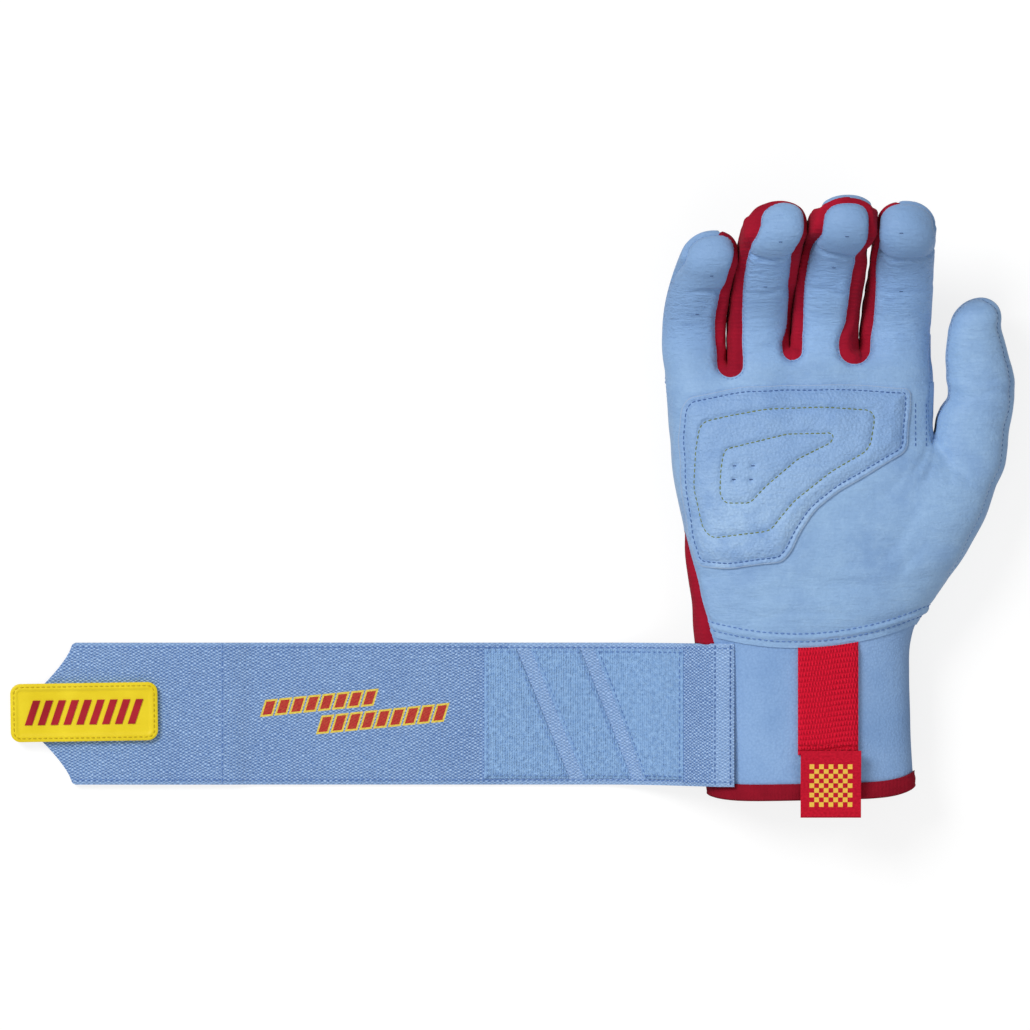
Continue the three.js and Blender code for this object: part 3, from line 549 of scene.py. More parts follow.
def trim(panel, value):
    """Cuts a panel where a value is zero and keeps its positive side; also gives the cut line."""
    faces = panel["faces"]
    kept = value >= 0
    count = kept[faces].sum(1)
    corners = []
    for wanted in (1, 2):
        some = faces[count == wanted]
        lead = (kept[some] == (wanted == 1)).argmax(1)
        corners.append([some[np.arange(len(some)), (lead + k) % 3] for k in range(3)])
    pairs = np.concatenate([np.stack([a, other], 1) for a, b, c in corners for other in (b, c)])
    unique, back = np.unique(np.sort(pairs, 1), axis=0, return_inverse=True)
    back = back.reshape(-1) + len(value)
    ends = np.cumsum([len(lot[0]) for lot in corners for _ in (0, 1)])
    one_ab, one_ac, two_ab, two_ac = np.split(back, ends[:-1])
    _, b, c = corners[1]
    faces = np.concatenate([
        faces[count == 3],
        np.stack([corners[0][0], one_ab, one_ac], 1),
        np.stack([b, c, two_ac], 1),
        np.stack([b, two_ac, two_ab], 1),
    ])
    rim = np.concatenate([np.stack([one_ab, one_ac], 1), np.stack([two_ac, two_ab], 1)])
    low, high = unique.T
    share = value[low] / np.where(value[low] == value[high], 1, value[low] - value[high])
    used = np.unique(faces)
    place = np.full(len(value) + len(unique), -1)
    place[used] = np.arange(len(used))
    made = {"faces": place[faces]}
    for key, column in panel.items():
        if key != "faces":
            column = np.concatenate([column, (column[low].T + share * (column[high] - column[low]).T).T])
            made[key] = column[used]
    rim = place[rim]
    return made, rim[(rim >= 0).all(1)]


def part(panel, value):
    """The part of a panel where a value is positive."""
    return trim(panel, value)[0]


def open_edges(faces):
    """Border edges of a triangle mesh, in face order."""
    sides = np.concatenate([faces[:, [0, 1]], faces[:, [1, 2]], faces[:, [2, 0]]])
    key = np.sort(sides, 1)
    _, first, count = np.unique(key, axis=0, return_index=True, return_counts=True)
    return sides[first[count == 1]]


def mesh_object(name, points, faces, materials, finish=None, corner_normals=None, uv=None):
    """A Blender object from glove millimetres, smooth, at the origin."""
    mesh = bpy.data.meshes.new(name)
    mesh.vertices.add(len(points))
    mesh.vertices.foreach_set("co", in_frame(points).astype(np.float32).ravel())
    sizes = np.concatenate([np.full(len(part), part.shape[1]) for part in faces])
    corners = np.concatenate([part.ravel() for part in faces])
    mesh.loops.add(len(corners))
    mesh.loops.foreach_set("vertex_index", corners.astype(np.int32))
    mesh.polygons.add(len(sizes))
    starts = np.concatenate([[0], np.cumsum(sizes)[:-1]])
    mesh.polygons.foreach_set("loop_start", starts.astype(np.int32))
    mesh.polygons.foreach_set("use_smooth", np.ones(len(sizes), bool))
    for item in materials:
        mesh.materials.append(item)
    if finish is not None:
        mesh.polygons.foreach_set("material_index", np.asarray(finish, np.int32))
    if uv is not None:
        layer = mesh.uv_layers.new(name="UVMap")
        layer.data.foreach_set("uv", np.asarray(uv, np.float32)[corners].ravel())
    mesh.update(calc_edges=True)
    mesh.validate()
    if corner_normals is not None:
        mesh.normals_split_custom_set(np.asarray(corner_normals, np.float32).tolist())
    made = bpy.data.objects.new(name, mesh)
    scene.collection.objects.link(made)
    return made


def shell(name, panel, thickness, outside, inside, uv=None, bare=None):
    """A sheet with real thickness from a panel's outer face; bare points show its inside finish."""
    at = panel["at"]
    normal = panel["normal"]
    count = len(at)
    faces = panel["faces"]
    rim = open_edges(faces)
    under = panel["under"] if "under" in panel else at - normal * thickness
    points = np.concatenate([at, under])
    wall = np.stack([rim[:, 1], rim[:, 0], rim[:, 0] + count, rim[:, 1] + count], 1)
    across = points[wall[:, 1]] - points[wall[:, 0]]
    deep = points[wall[:, 3]] - points[wall[:, 0]]
    wall_normal = np.cross(across, deep)
    wall_normal /= np.maximum(np.linalg.norm(wall_normal, axis=1), 1e-9)[:, None]
    triangles = np.concatenate([faces, faces[:, ::-1] + count])
    both = np.concatenate([normal, -normal])
    corner_normals = np.concatenate([both[triangles.ravel()], np.repeat(wall_normal, 4, axis=0)])
    finish = np.concatenate([np.zeros(len(faces)), np.ones(len(faces) + len(wall))])
    if bare is not None:
        finish[:len(faces)] = bare[faces].all(1)
    if uv is not None:
        uv = np.concatenate([uv, uv])
    made = mesh_object(name, points, [triangles, wall], [outside, inside], finish, corner_normals, uv)
    for mark in ("painted_shade", "wrinkled_and_shaded"):
        if mark in panel:
            column = made.data.attributes.new(mark, "FLOAT", "POINT")
            column.data.foreach_set("value", np.tile(panel[mark], 2).astype(np.float32))
    return made


def smooth_normals(panel):
    """Normals of a displaced panel, from its own faces."""
    at = panel["at"]
    faces = panel["faces"]
    a, b, c = [at[faces[:, k]] for k in range(3)]
    face_normal = np.cross(b - a, c - a)
    total = np.zeros_like(at)
    for k in range(3):
        np.add.at(total, faces[:, k], face_normal)
    return total / np.maximum(np.linalg.norm(total, axis=1), 1e-12)[:, None]


def waves(points, length, seed, stretch=(1, 1, 1)):
    """Smooth seeded ripples between about -1 and 1."""
    draw = np.random.default_rng(seed)
    total = np.zeros(len(points))
    for _ in range(9):
        way = draw.normal(size=3)
        way /= np.linalg.norm(way) * length * draw.uniform(0.75, 1.4)
        total += np.sin(2 * np.pi * (points * np.asarray(stretch)) @ way + draw.uniform(0, 2 * np.pi))
    return total / 4.0


# Leather
# Sheepskin dyed sky blue: a fine pebbled grain with soft creases, paler where it is rubbed, and a suede flesh
# side. Painted shade darkens the fingers and the pad's upper part and lies in the fine crease lines, and a
# paler, bluer painted tone lifts the shaded middles of the fingers.
def srgb(red, green, blue):
    """A colour as the eye reads it, 0 to 255, to linear light."""
    part = np.array([red, green, blue]) / 255.0
    return (*np.where(part > 0.04045, ((part + 0.055) / 1.055) ** 2.4, part / 12.92), 1.0)


SKY_BLUE = srgb(146, 182, 222)
SKY_BLUE_DEEP = srgb(128, 164, 209)
SKY_BLUE_RUBBED = srgb(162, 197, 233)
# painted shade for the fine crease lines of the finger hides
SKY_BLUE_CREASE_SHADE = srgb(92, 130, 198)
# painted light: a paler, bluer tone laid over the finger middles where they lie in shade
SKY_BLUE_SHADED = srgb(150, 193, 249)
DRAG_SCALE = (150.0, 900.0, 500.0)


def leather_finish(name, dark, middle, light, grain=950.0, rough=0.52, pebbled=0.28, embossed=0.00016):
    """Grained hide: painted shade darkens it where a piece is marked for it, and where a piece is marked as
    wrinkled it is lined, with painted shade in the lines and a paler, bluer painted tone over the shade.
    """
    hide = Finish(name)
    pebble = hide.cells(grain)
    crease = hide.noise(210.0, 4.0, 0.7)
    drawn = node(hide.tree, "ShaderNodeMapping", {"Vector": hide.place, "Scale": DRAG_SCALE}).outputs[0]
    line = hide.noise(1.0, 6.0, 0.62, drawn)
    painted_shade, wrinkled_and_shaded = [
        node(hide.tree, "ShaderNodeAttribute", attribute_name=mark).outputs["Fac"]
        for mark in ("painted_shade", "wrinkled_and_shaded")
    ]
    hide.tone = hide.ramp(hide.noise(42.0, 5.0, 0.62), dark, middle, 0.32, 0.56)
    hide.lay(light, hide.mask(crease, 0.45, 0.75), 0.55)
    # painted light: the shaded finger middles are lifted to a paler, bluer tone
    hide.lay(SKY_BLUE_SHADED, wrinkled_and_shaded, 0.95)
    # painted shade where a piece is marked for it
    hide.lay(dark, painted_shade, 0.9)
    hide.lay(dark, pebble, pebbled)
    # painted shade in the fine crease and drag lines, deeper on the wrinkled finger hides
    hide.lay(dark, hide.mask(line, 0.5, 0.3), 0.42)
    hide.lay(SKY_BLUE_CREASE_SHADE, hide.mask(line, 0.44, 0.3), hide.calc("MULTIPLY", wrinkled_and_shaded, 0.4))
    hide.emboss(pebble, embossed, 0.55)
    hide.emboss(crease, 0.0008, 0.28)
    hide.emboss(line, 0.0009, hide.calc("MULTIPLY_ADD", wrinkled_and_shaded, 0.7, 0.5))
    hide.emboss(hide.noise(2600.0, 2.0), 0.00007, 0.5)
    return hide.done(hide.calc("MULTIPLY_ADD", crease, 0.22, rough - 0.11), 0.38, 0.06)


leather = leather_finish("sky_blue_leather", SKY_BLUE_DEEP, SKY_BLUE, SKY_BLUE_RUBBED)
SUEDE = (srgb(146, 170, 202), srgb(160, 184, 214), srgb(176, 198, 224))
suede = leather_finish("suede_flesh_side", *SUEDE, 1500.0, 0.85)


# Red stretch cloth
# Four-way stretch knit for the finger walls, the webs and the gusset: fine wales with a soft nap, dyed deep
# red.
DEEP_RED = srgb(140, 14, 38)
BRIGHT_RED = srgb(170, 20, 46)
WALE = 0.00124
COURSE = WALE / 0.84

knit = Finish("red_stretch_cloth")
loops = knit.calc("MULTIPLY", knit.bands(WALE, "Z", 1.6, 1.0, 2.0), knit.bands(COURSE, "Y", 1.2))
knit.tone = knit.ramp(knit.noise(70.0, 4.0), DEEP_RED, BRIGHT_RED, 0.3, 0.72)
knit.lay(BRIGHT_RED, loops, 0.35)
knit.emboss(loops, 0.00022, 0.7)
knit.emboss(knit.noise(240.0, 2.0), 0.0004, 0.25)
red_cloth = knit.done(0.88, 0.12, 0.02)


# Palm, back and gusset
# A palm hide and a back hide, seamed along both edges of the hand and to the cuff, with a red stretch wedge
# let into the little finger edge above the cuff. Twin stitch rows hold the hide down on the cuff.
HIDE = 1.2
CLOTH = 1.0
GUSSET_LOW = 51.0
GUSSET_POINT = (-43.2, 91.6)
GUSSET_SLOPE = 0.265
GUSSET_SQUARE = 0.966
GUSSET_FACING = -0.55
CUFF_SEAM_LOW = 54.9
CUFF_SEAM_BOW = 0.0044
CUFF_SEAM_MIDDLE = -4.4
TURN_REACH = 9.0
THUMB_EDGE_TILT = 0.42
CROTCH_TILT = 0.08
LITTLE_EDGE_TILT = -0.36
LITTLE_EDGE_RISE = 0.34
THUMB_CUT = (59.6, THUMB_BASE)
THUMB_CUT_SLOPE = 0.377
THUMB_CUT_SQUARE = 0.93
TABLE_CLEAR = 0.25
PAD_CORNERS = np.array([
    # place across, place along and rounding of each corner of the smooth field that the pad lies on
    [-43.4, 139.5, 8], [-22, 147.4, 22], [35.6, 147.6, 3], [35.4, 124.6, 5], [13, 111.2, 30],
    [-3.4, 98, 14], [-9.4, 85.6, 5], [-39.6, 83.8, 5], [-45.6, 121, 40],
])
PALM_CREASES = [
    # start, end, depth and width of the folds from the thumb's crotch, the thumb's root and the heel
    ((44.0, 130.5), (35.5, 115.0), 0.5, 1.5),
    ((45.5, 129.5), (40.0, 112.0), 0.4, 1.3),
    ((47.5, 128.0), (50.0, 110.0), 0.3, 1.6),
    ((36.0, 120.0), (21.0, 105.0), 0.25, 1.6),
    ((40.0, 108.0), (24.0, 84.0), 0.25, 2.2),
    ((30.0, 78.0), (42.0, 92.0), 0.35, 2.0),
    ((-36.0, 74.0), (-14.0, 70.0), 0.25, 1.6),
    ((2.0, 78.0), (26.0, 74.0), 0.3, 1.9),
    ((-18.0, 66.0), (20.0, 65.0), 0.22, 1.5),
    ((46.0, 122.0), (58.0, 112.0), 0.3, 1.4),
]
CUFF_ROWS = (2.2, 5.0)
CUFF_EDGE_RELIEF = (
    # distance in from the hide's edge, height and width of its stitch grooves and of the roll between them
    (CUFF_ROWS[0], -0.5, 0.8), (CUFF_ROWS[1], -0.4, 0.8), (3.6, 0.5, 1.0), (0.0, -0.35, 1.2),
)


def lengths_along(line):
    """Length from the start of a line to each of its points."""
    return np.concatenate([[0], np.cumsum(np.linalg.norm(np.diff(line, axis=0), axis=1))])


def evenly(points, step):
    """A closed line resampled at even steps."""
    points = np.concatenate([points, points[:1]])
    place = lengths_along(points)
    count = max(int(round(place[-1] / step)), 2)
    even = np.linspace(0, place[-1], count + 1)
    return np.stack([np.interp(even, place, column) for column in points.T], 1)[:-1]


def rounded(corners, step=0.7):
    """A closed outline with rounded corners, as evenly spaced points."""
    made = []
    count = len(corners)
    t = np.linspace(0, 1, 12)[:, None]
    for i in range(count):
        before, here, after = [corners[(i + k) % count] for k in (-1, 0, 1)]
        back = before[:2] - here[:2]
        ahead = after[:2] - here[:2]
        reach = min(here[2], 0.45 * np.hypot(*back), 0.45 * np.hypot(*ahead))
        start = here[:2] + back / np.hypot(*back) * reach
        end = here[:2] + ahead / np.hypot(*ahead) * reach
        made.append((1 - t) ** 2 * start + 2 * t * (1 - t) * here[:2] + t**2 * end)
    return evenly(np.concatenate(made), step)


def inside_by(points, outline):
    """Distance in from a closed outline, negative outside it."""
    ends = np.roll(outline, -1, axis=0)
    best = np.full(len(points), 1e9)
    turns = np.zeros(len(points), int)
    x, y = points[:, 0], points[:, 1]
    for (ax, ay), (bx, by) in zip(outline, ends):
        dx, dy = bx - ax, by - ay
        t = np.clip(((x - ax) * dx + (y - ay) * dy) / (dx * dx + dy * dy + 1e-12), 0, 1)
        best = np.minimum(best, np.hypot(x - ax - t * dx, y - ay - t * dy))
        crosses = (ay > y) != (by > y)
        turns += crosses & (x < ax + (y - ay) / np.where(dy == 0, 1e-12, dy) * dx)
    return np.where(turns % 2 == 1, best, -best)


pad_outline = rounded(PAD_CORNERS)


def cuff_seam(x):
    """Where the hide ends on the cuff."""
    return CUFF_SEAM_LOW + CUFF_SEAM_BOW * (x - CUFF_SEAM_MIDDLE) ** 2


def hide_seam(points, normal):
    """Distance in from the seam between palm hide and back hide, on the palm side."""
    x, y, _ = points.T
    facing = normal[:, 0] / np.maximum(np.hypot(normal[:, 0], normal[:, 1]), 1e-6)
    thumb_edge = THUMB_EDGE_TILT * ease(y, 62, 104)
    little_edge = np.where(x > 40, CROTCH_TILT, LITTLE_EDGE_TILT + LITTLE_EDGE_RISE * ease(y, 126, 149))
    level = little_edge + (thumb_edge - little_edge) * ease(facing, -0.35, 0.35)
    return (normal[:, 2] - level) * TURN_REACH


def gusset_in(points, normal):
    """Distance in from the sides of the red wedge."""
    below = GUSSET_POINT[1] - points[:, 1]
    line = (GUSSET_POINT[0] + below * GUSSET_SLOPE - points[:, 0]) * GUSSET_SQUARE
    return np.minimum(line, (normal[:, 2] - GUSSET_FACING) * TURN_REACH)


def peak(value, place, width):
    """A smooth bump of height 1 where a value comes to a place."""
    return np.exp(-(((value - place) / width) ** 2))


def seam_dent(distance, depth=0.75, width=1.0):
    """The pull of a seam: a groove with a soft roll beside it."""
    return -depth * peak(distance, 0, width) + 0.3 * depth * peak(np.abs(distance), 2.6, 1.5)


def line_mark(points, start, end, width):
    """A crease along a line that fades at both ends."""
    start, end = np.asarray(start, float), np.asarray(end, float)
    way = end - start
    t = ((points[:, :2] - start) @ way) / (way @ way)
    bow = 0.06 * np.linalg.norm(way) * np.sin(np.pi * np.clip(t, 0, 1))
    off = ((points[:, :2] - start) @ np.array([-way[1], way[0]])) / np.linalg.norm(way) - bow
    return peak(off, 0, width) * ease(t, 0, 0.25) * (1 - ease(t, 0.75, 1))


def palm_relief(points, normal):
    """Creases and drag lines of the palm hide."""
    y = points[:, 1]
    up = ease(normal[:, 2], 0.0, 0.6)
    free = 1 - ease(inside_by(points, pad_outline), -5, -1)
    heel = ease(y, 58, 66) * (1 - ease(y, 78, 96))
    made = 0.22 * waves(points, 15, 3, (0.55, 1.0, 1.0)) * up * free
    made += 0.16 * waves(points, 7, 5, (0.35, 1.2, 1.0)) * heel * up
    for start, end, depth, width in PALM_CREASES:
        made -= depth * line_mark(points, start, end, width) * up * free
    return made * (1 - ease(y, 140, 148.5))


def thumb_zone(points):
    """Positive where the hand shape belongs to the thumb piece."""
    above = points[:, 1] - THUMB_CUT[1] + THUMB_CUT_SLOPE * (points[:, 0] - THUMB_CUT[0])
    nearer = palm_distance(points) - DIGITS["thumb"].distance(points)
    return np.minimum(above * THUMB_CUT_SQUARE, nearer)


def pushed(panel, push, clear=TABLE_CLEAR):
    """Raises a panel along its normals, and keeps it clear of the table."""
    panel["at"] = panel["at"] + push[:, None] * panel["normal"]
    panel["at"][:, 2] = np.maximum(panel["at"][:, 2], clear)
    panel["normal"] = smooth_normals(panel)


def fasten(piece, slot, carrier, *nodes):
    """Hides the CAD nodes that a piece stands for and parents the piece to its carrier if that is one body.
    For a carrier of two bodies with the ends of a stretch between them, it only bakes the piece's transform.
    The slot is not used."""
    if isinstance(carrier, str):
        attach(piece, carrier)
    else:
        first, second, start, end = carrier
        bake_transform(piece)
        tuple(start)
        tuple(end)
    if nodes:
        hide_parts(*nodes)


HAND_BOX = ((-53, 47, -2), (77, 154, 40))
hand = skin(*HAND_BOX, hand_distance)
at = hand["at"]
hand["front"] = hide_seam(at, hand["normal"])
hand["gusset"] = gusset_in(at, hand["normal"])
hand["cuff_gap"] = at[:, 1] - cuff_seam(at[:, 0])
hand["thumb"] = thumb_zone(at)
hand["cut"] = FINGER_CUT - at[:, 1]
hand["low"] = at[:, 1] - GUSSET_LOW
push = palm_relief(at, hand["normal"])
push += seam_dent(hand["front"]) * np.where(hand["gusset"] > 0, 0, 1)
push += seam_dent(hand["gusset"], 0.8) * (hand["gusset"] > -6)
push += (0.4 - 2.4 * (1 - ease(at[:, 1], 54.6, 56.6))) * ease(hand["gusset"], -0.5, 1.5)
for place, depth, width in CUFF_EDGE_RELIEF:
    push += depth * peak(hand["cuff_gap"], place, width) * (hand["gusset"] < 0)
pushed(hand, push)
hand = part(hand, hand["cut"])
hand = part(hand, -hand["thumb"])
gusset_panel = part(hand, hand["gusset"])
gusset_panel = part(gusset_panel, gusset_panel["low"])
hides = part(hand, -hand["gusset"])
hides = part(hides, hides["cuff_gap"])
palm_panel = part(hides, hides["front"])
back_panel = part(hides, -hides["front"])

palm = shell("palm_hide", palm_panel, HIDE, leather, suede)
back = shell("back_hide", back_panel, HIDE, leather, suede)
gusset = shell("little_finger_edge_gusset", gusset_panel, CLOTH, red_cloth, red_cloth)
fasten(palm, "leather", "hand", "palm_leather")
fasten(back, "leather", "hand", "back_leather")
fasten(gusset, "stretch", "hand", "ulnar_gusset")


# Fingers
# Each finger has a front and a back hide. Red stretch walls run between neighbouring fingers, over the tips
# of the two middle ones; the outer sides of the little finger and the index finger are seamed hide to hide.
FRONT_SEAMS = {
    # angle of the front hide's seam from the middle of the finger's palm side, from the base to the tip, for
    # the little finger side and the thumb side
    "pinky": ((88, 88, 88, 88, 84, 70), (50, 50, 46, 42, 53, 52)),
    "ring": ((36, 36, 36, 47, 55, 54), (51, 54, 66, 60, 47, 52)),
    "middle": ((43, 43, 44, 60, 71, 56), (32, 32, 38, 34, 32, 43)),
    "index": ((46, 46, 45, 50, 68, 72), (66, 72, 84, 84, 82, 76)),
}
SEAM_SHARES = (0.0, 0.1, 0.3, 0.6, 0.85, 1.0)
TIP_SEAMS = {"pinky": 112, "ring": 140, "middle": 107, "index": 134}
BACK_TIP_SEAMS = {"pinky": 168, "ring": 168, "middle": 127, "index": 168}
TIP_ROUNDING = {"pinky": 6.0, "ring": 9.0, "middle": 6.0, "index": 6.0}
TIP_BULGE = 0.5
BACK_SEAM = 55
SEAM_NOTCHES = {
    # where a bend draws the front hide in: its side, length along the finger, reach and depth
    "pinky": ((1, 38.0, 3.2, 1.2),),
    "ring": ((1, 41.5, 3.5, 1.0), (1, 59.0, 3.0, 0.8)),
    "middle": ((1, 61.0, 3.2, 1.2),),
}
FINGER_CREASES = {
    # length along the finger, depth, width
    "pinky": ((40, 1.3, 1.3), (27, 0.3, 1.2), (22, 0.15, 1.3), (10, 0.2, 1.8)),
    "ring": ((59.5, 1.6, 1.15), (55, 0.15, 0.9), (39.5, 0.4, 1.2), (20, 0.25, 1.8)),
    "middle": ((63, 1.7, 1.15), (58, 0.2, 0.9), (41.5, 0.35, 1.2), (21, 0.25, 1.8)),
    "index": ((60.5, 1.3, 1.15), (56, 0.2, 0.9), (41, 0.35, 1.2), (20, 0.25, 1.8)),
}
WALL_BULGE = {"pinky": 1.2, "ring": 1.1, "middle": 1.0, "index": 0.8}
WALL_PINCHES = {
    # where a wall is drawn in, or swells if negative: its side, length along the finger, reach and depth
    "middle": ((1, 58.0, 7.0, 2.2), (-1, 66.0, 6.0, -1.1)),
    "index": ((-1, 38.0, 13.0, 1.1),),
}
PAINTED_SHADE = {
    # how much painted shade darkens the hide near the finger's base, its middle and its tip
    "pinky": (0.3, 0.8, 0.9),
    "ring": (0.1, 0.9, 0.5),
    "middle": (0.1, 0.2, 1.0),
    "index": (0.2, 0.0, 1.0),
}
BLEND_START = 160.0
BLEND_END = 177.0
BLEND_HEIGHT = 20.0
FINGER_LOW = 146.0
FINGER_ROOM = (17, 13, 14)
WEB_DEPTH = 1.5
MID_HEIGHT = 15
SIDE_WEBS = {
    "pinky": (None, "pinky_ring"),
    "ring": ("pinky_ring", "ring_middle"),
    "middle": ("ring_middle", "middle_index"),
    "index": ("middle_index", None),
}
BACK_SLOT_SHIFTS = {"pinky_ring": -1.0, "ring_middle": -0.3, "middle_index": 1.2}
BACK_SLOT_RADIUS = 2.9


def slot_in_plan(points, web, on_back):
    """Distance out from the U-shaped slot between two fingers in plan; it is narrower on the back."""
    x, bottom, radius, _ = WEBS[web]
    if on_back:
        x = x + BACK_SLOT_SHIFTS[web]
        radius = BACK_SLOT_RADIUS
    ahead = np.minimum(points[:, 1] - bottom - radius, 0)
    return np.hypot(points[:, 0] - x, ahead) - radius


def finger_seams(name, points):
    """Distances in from the front hide's seam and the back hide's seam, with the places along the finger."""
    digit = DIGITS[name]
    length, side, depth, past, _ = digit.along(points)
    share = np.clip(length / digit.length, 0, 1)
    wide = digit.half_width(share)
    deep = digit.half_depth(share)
    tip = 0.5 * (wide + deep)
    slant = np.degrees(np.arctan2(np.abs(side) / wide, np.hypot(depth / deep, past / tip)))
    turn = np.degrees(np.arctan2(past / tip, depth / deep))
    fronts = []
    backs = []
    for index, web in enumerate(SIDE_WEBS[name]):
        limit = through(SEAM_SHARES, FRONT_SEAMS[name][index])(share)
        front = soft_union(
            np.radians(limit - slant) * wide, np.radians(TIP_SEAMS[name] - turn) * deep, TIP_ROUNDING[name]
        )
        for way, place, reach, drawn in SEAM_NOTCHES.get(name, ()):
            if way == (-1, 1)[index]:
                front = front - drawn * peak(length, place, reach)
        if web is None:
            fronts.append(front)
            backs.append(-front)
            continue
        start = BACK_TIP_SEAMS[name]
        if None in SIDE_WEBS[name]:
            start = TIP_SEAMS[name] + (start - TIP_SEAMS[name]) * ease(np.abs(side), 0.2, 5.0)
        back_hide = np.radians(np.minimum((BACK_SEAM - slant) * wide, (turn - start) * deep))
        slot = slot_in_plan(points, web, False)
        back_slot = slot_in_plan(points, web, True)
        _, bottom, radius, _ = WEBS[web]
        near = 1 - ease(points[:, 1], bottom + radius + 2, bottom + radius + 10)
        upper = (points[:, 2] > MID_HEIGHT) & (depth > 0)
        lower = (points[:, 2] <= MID_HEIGHT) & (depth < 0)
        front = np.where(upper, front + near * (slot - front), front)
        back_hide = np.where(lower, back_hide + near * (back_slot - back_hide), back_hide)
        fronts.append(front)
        backs.append(back_hide)
    thumb_side = side > 0
    front = np.where(thumb_side, fronts[1], fronts[0])
    back_hide = np.where(thumb_side, backs[1], backs[0])
    return front, back_hide, length, side, depth, past


def finger_relief(name, points, front, back_hide, length, side, depth, past, room):
    """Sewn-in seams, bend creases and fine cross wrinkles of a finger."""
    cloth = np.minimum(-front, -back_hide)
    made = seam_dent(front, 0.8, 1.0) + seam_dent(np.where(front < 0, back_hide, 9), 0.6, 0.9)
    bulge = np.clip(0.5 * room - 0.2, -0.4, WALL_BULGE[name])
    made += bulge * ease(cloth, 0.0, 2.6) * (1 - ease(past, 0, 5))
    for way, place, reach, deep in WALL_PINCHES.get(name, ()):
        made -= deep * peak(length, place, reach) * ease(cloth, 0.0, 2.0) * (way * side > 0)
    made += 0.3 * ease(front, 1.0, 4.5)
    bow = 1.1 * np.sin(side * 0.22 + len(name)) + 0.5 * np.sin(side * 0.55 + 2.0 * len(name))
    palm_side = ease(depth, 0.5, 5.0) * ease(front, 0.3, 2.0)
    if name == "pinky":
        palm_side = palm_side * ease(side, -8.0, 4.0)
    for place, deep, width in FINGER_CREASES[name]:
        made -= deep * peak(length - place + bow, 0, width) * palm_side
    last_bend = FINGER_CREASES[name][0][0]
    made += TIP_BULGE * ease(length, last_bend - 1, last_bend + 6) * palm_side
    made += 0.14 * waves(points, 10, 11 + len(name), (1.0, 0.7, 0.7)) * (front > 0)
    made += 0.12 * waves(points, 5.5, 21 + len(name), (0.7, 1.0, 1.0)) * (cloth > 0)
    return made * ease(points[:, 1], FINGER_CUT, FINGER_CUT + 6)


web_parts = {web: [] for web in WEBS}
front_panels = {}
bends = {}


def cover(name, front, back):
    """The front hide and the back hide of a finger or the thumb."""
    for label, panel in (("front", front), ("back", back)):
        piece = shell("%s_%s_hide" % (name, label), panel, HIDE, leather, suede)
        fasten(piece, "leather", bends[name], "%s_%s" % (name, label))


for order, name in enumerate(FINGERS):
    digit = DIGITS[name]
    tip = (digit.base[0] + digit.run.max(), digit.base[1] + digit.rise.max())
    low = (digit.axis(0) - FINGER_ROOM[0], FINGER_LOW, -2.0)
    high = (digit.axis(0) + FINGER_ROOM[0], tip[0] + FINGER_ROOM[1], tip[1] + FINGER_ROOM[2])
    raw = skin(low, high, lambda points, name=name: finger_distance(name, points))
    at = raw["at"]
    own = digit.distance(at)
    beside = FINGERS[max(order - 1, 0):order] + FINGERS[order + 1:order + 2]
    raw["zone"] = np.minimum.reduce([DIGITS[other].distance(at) - own for other in beside])
    seams = finger_seams(name, at)
    raw["front"], raw["back"], length, raw["side"] = seams[:4]
    raw["cut"] = at[:, 1] - FINGER_CUT
    raw["plan"] = at[:, 1]
    # painted shade: the hide is darkened along the finger by the listed amounts, standing in for the shade on
    # the curled fingers
    raw["painted_shade"] = through((0.15, 0.55, 0.9), PAINTED_SHADE[name])(length / digit.length)
    last_bend = FINGER_CREASES[name][0][0]
    # marks the fine wrinkles and, as painted light, the shaded finger middles that get a paler, bluer tone
    raw["wrinkled_and_shaded"] = 0.3 * ease(length, 4, 16) + 0.6 * ease(length, last_bend - 30, last_bend - 14)
    raw["wrinkled_and_shaded"] -= 0.75 * ease(length, last_bend - 1, last_bend + 4)
    pushed(raw, finger_relief(name, at, *seams, raw["zone"] + own))
    raw = part(raw, raw["cut"])
    raw = part(raw, raw["zone"])
    front_panels[name] = part(raw, raw["front"])
    rest = part(raw, -raw["front"])
    ends = [in_frame((digit.axis(0), place, BLEND_HEIGHT)) for place in (BLEND_START, BLEND_END)]
    bends[name] = ("hand", name, *ends)
    cover(name, front_panels[name], part(rest, rest["back"]))
    walls = part(rest, -rest["back"])
    for way, label, web in zip((-1, 1), ("ulnar", "radial"), SIDE_WEBS[name]):
        if web is None:
            continue
        wall = part(walls, way * walls["side"])
        level = WEBS[web][3] + WEB_DEPTH
        web_parts[web].append(part(wall, level - wall["plan"]))
        wall = part(wall, wall["plan"] - level)
        piece = shell("%s_%s_wall" % (name, label), wall, CLOTH, red_cloth, red_cloth)
        fasten(piece, "stretch", bends[name], "%s_fourchette_%s" % (name, label))


# Webs
# The bottoms of the slots between the fingers, where two red walls run into one another. Each is a saddle of
# the same stretch cloth, sewn in with them.
def joined(*panels):
    """Several panels as one."""
    made = {key: np.concatenate([panel[key] for panel in panels]) for key in panels[0] if key != "faces"}
    shift = np.cumsum([0] + [len(panel["at"]) for panel in panels])
    made["faces"] = np.concatenate([panel["faces"] + shift[i] for i, panel in enumerate(panels)])
    return made


for web, parts in web_parts.items():
    saddle = shell("web_" + web, joined(*parts), CLOTH, red_cloth, red_cloth)
    fasten(saddle, "stretch", "hand", "web_" + web)


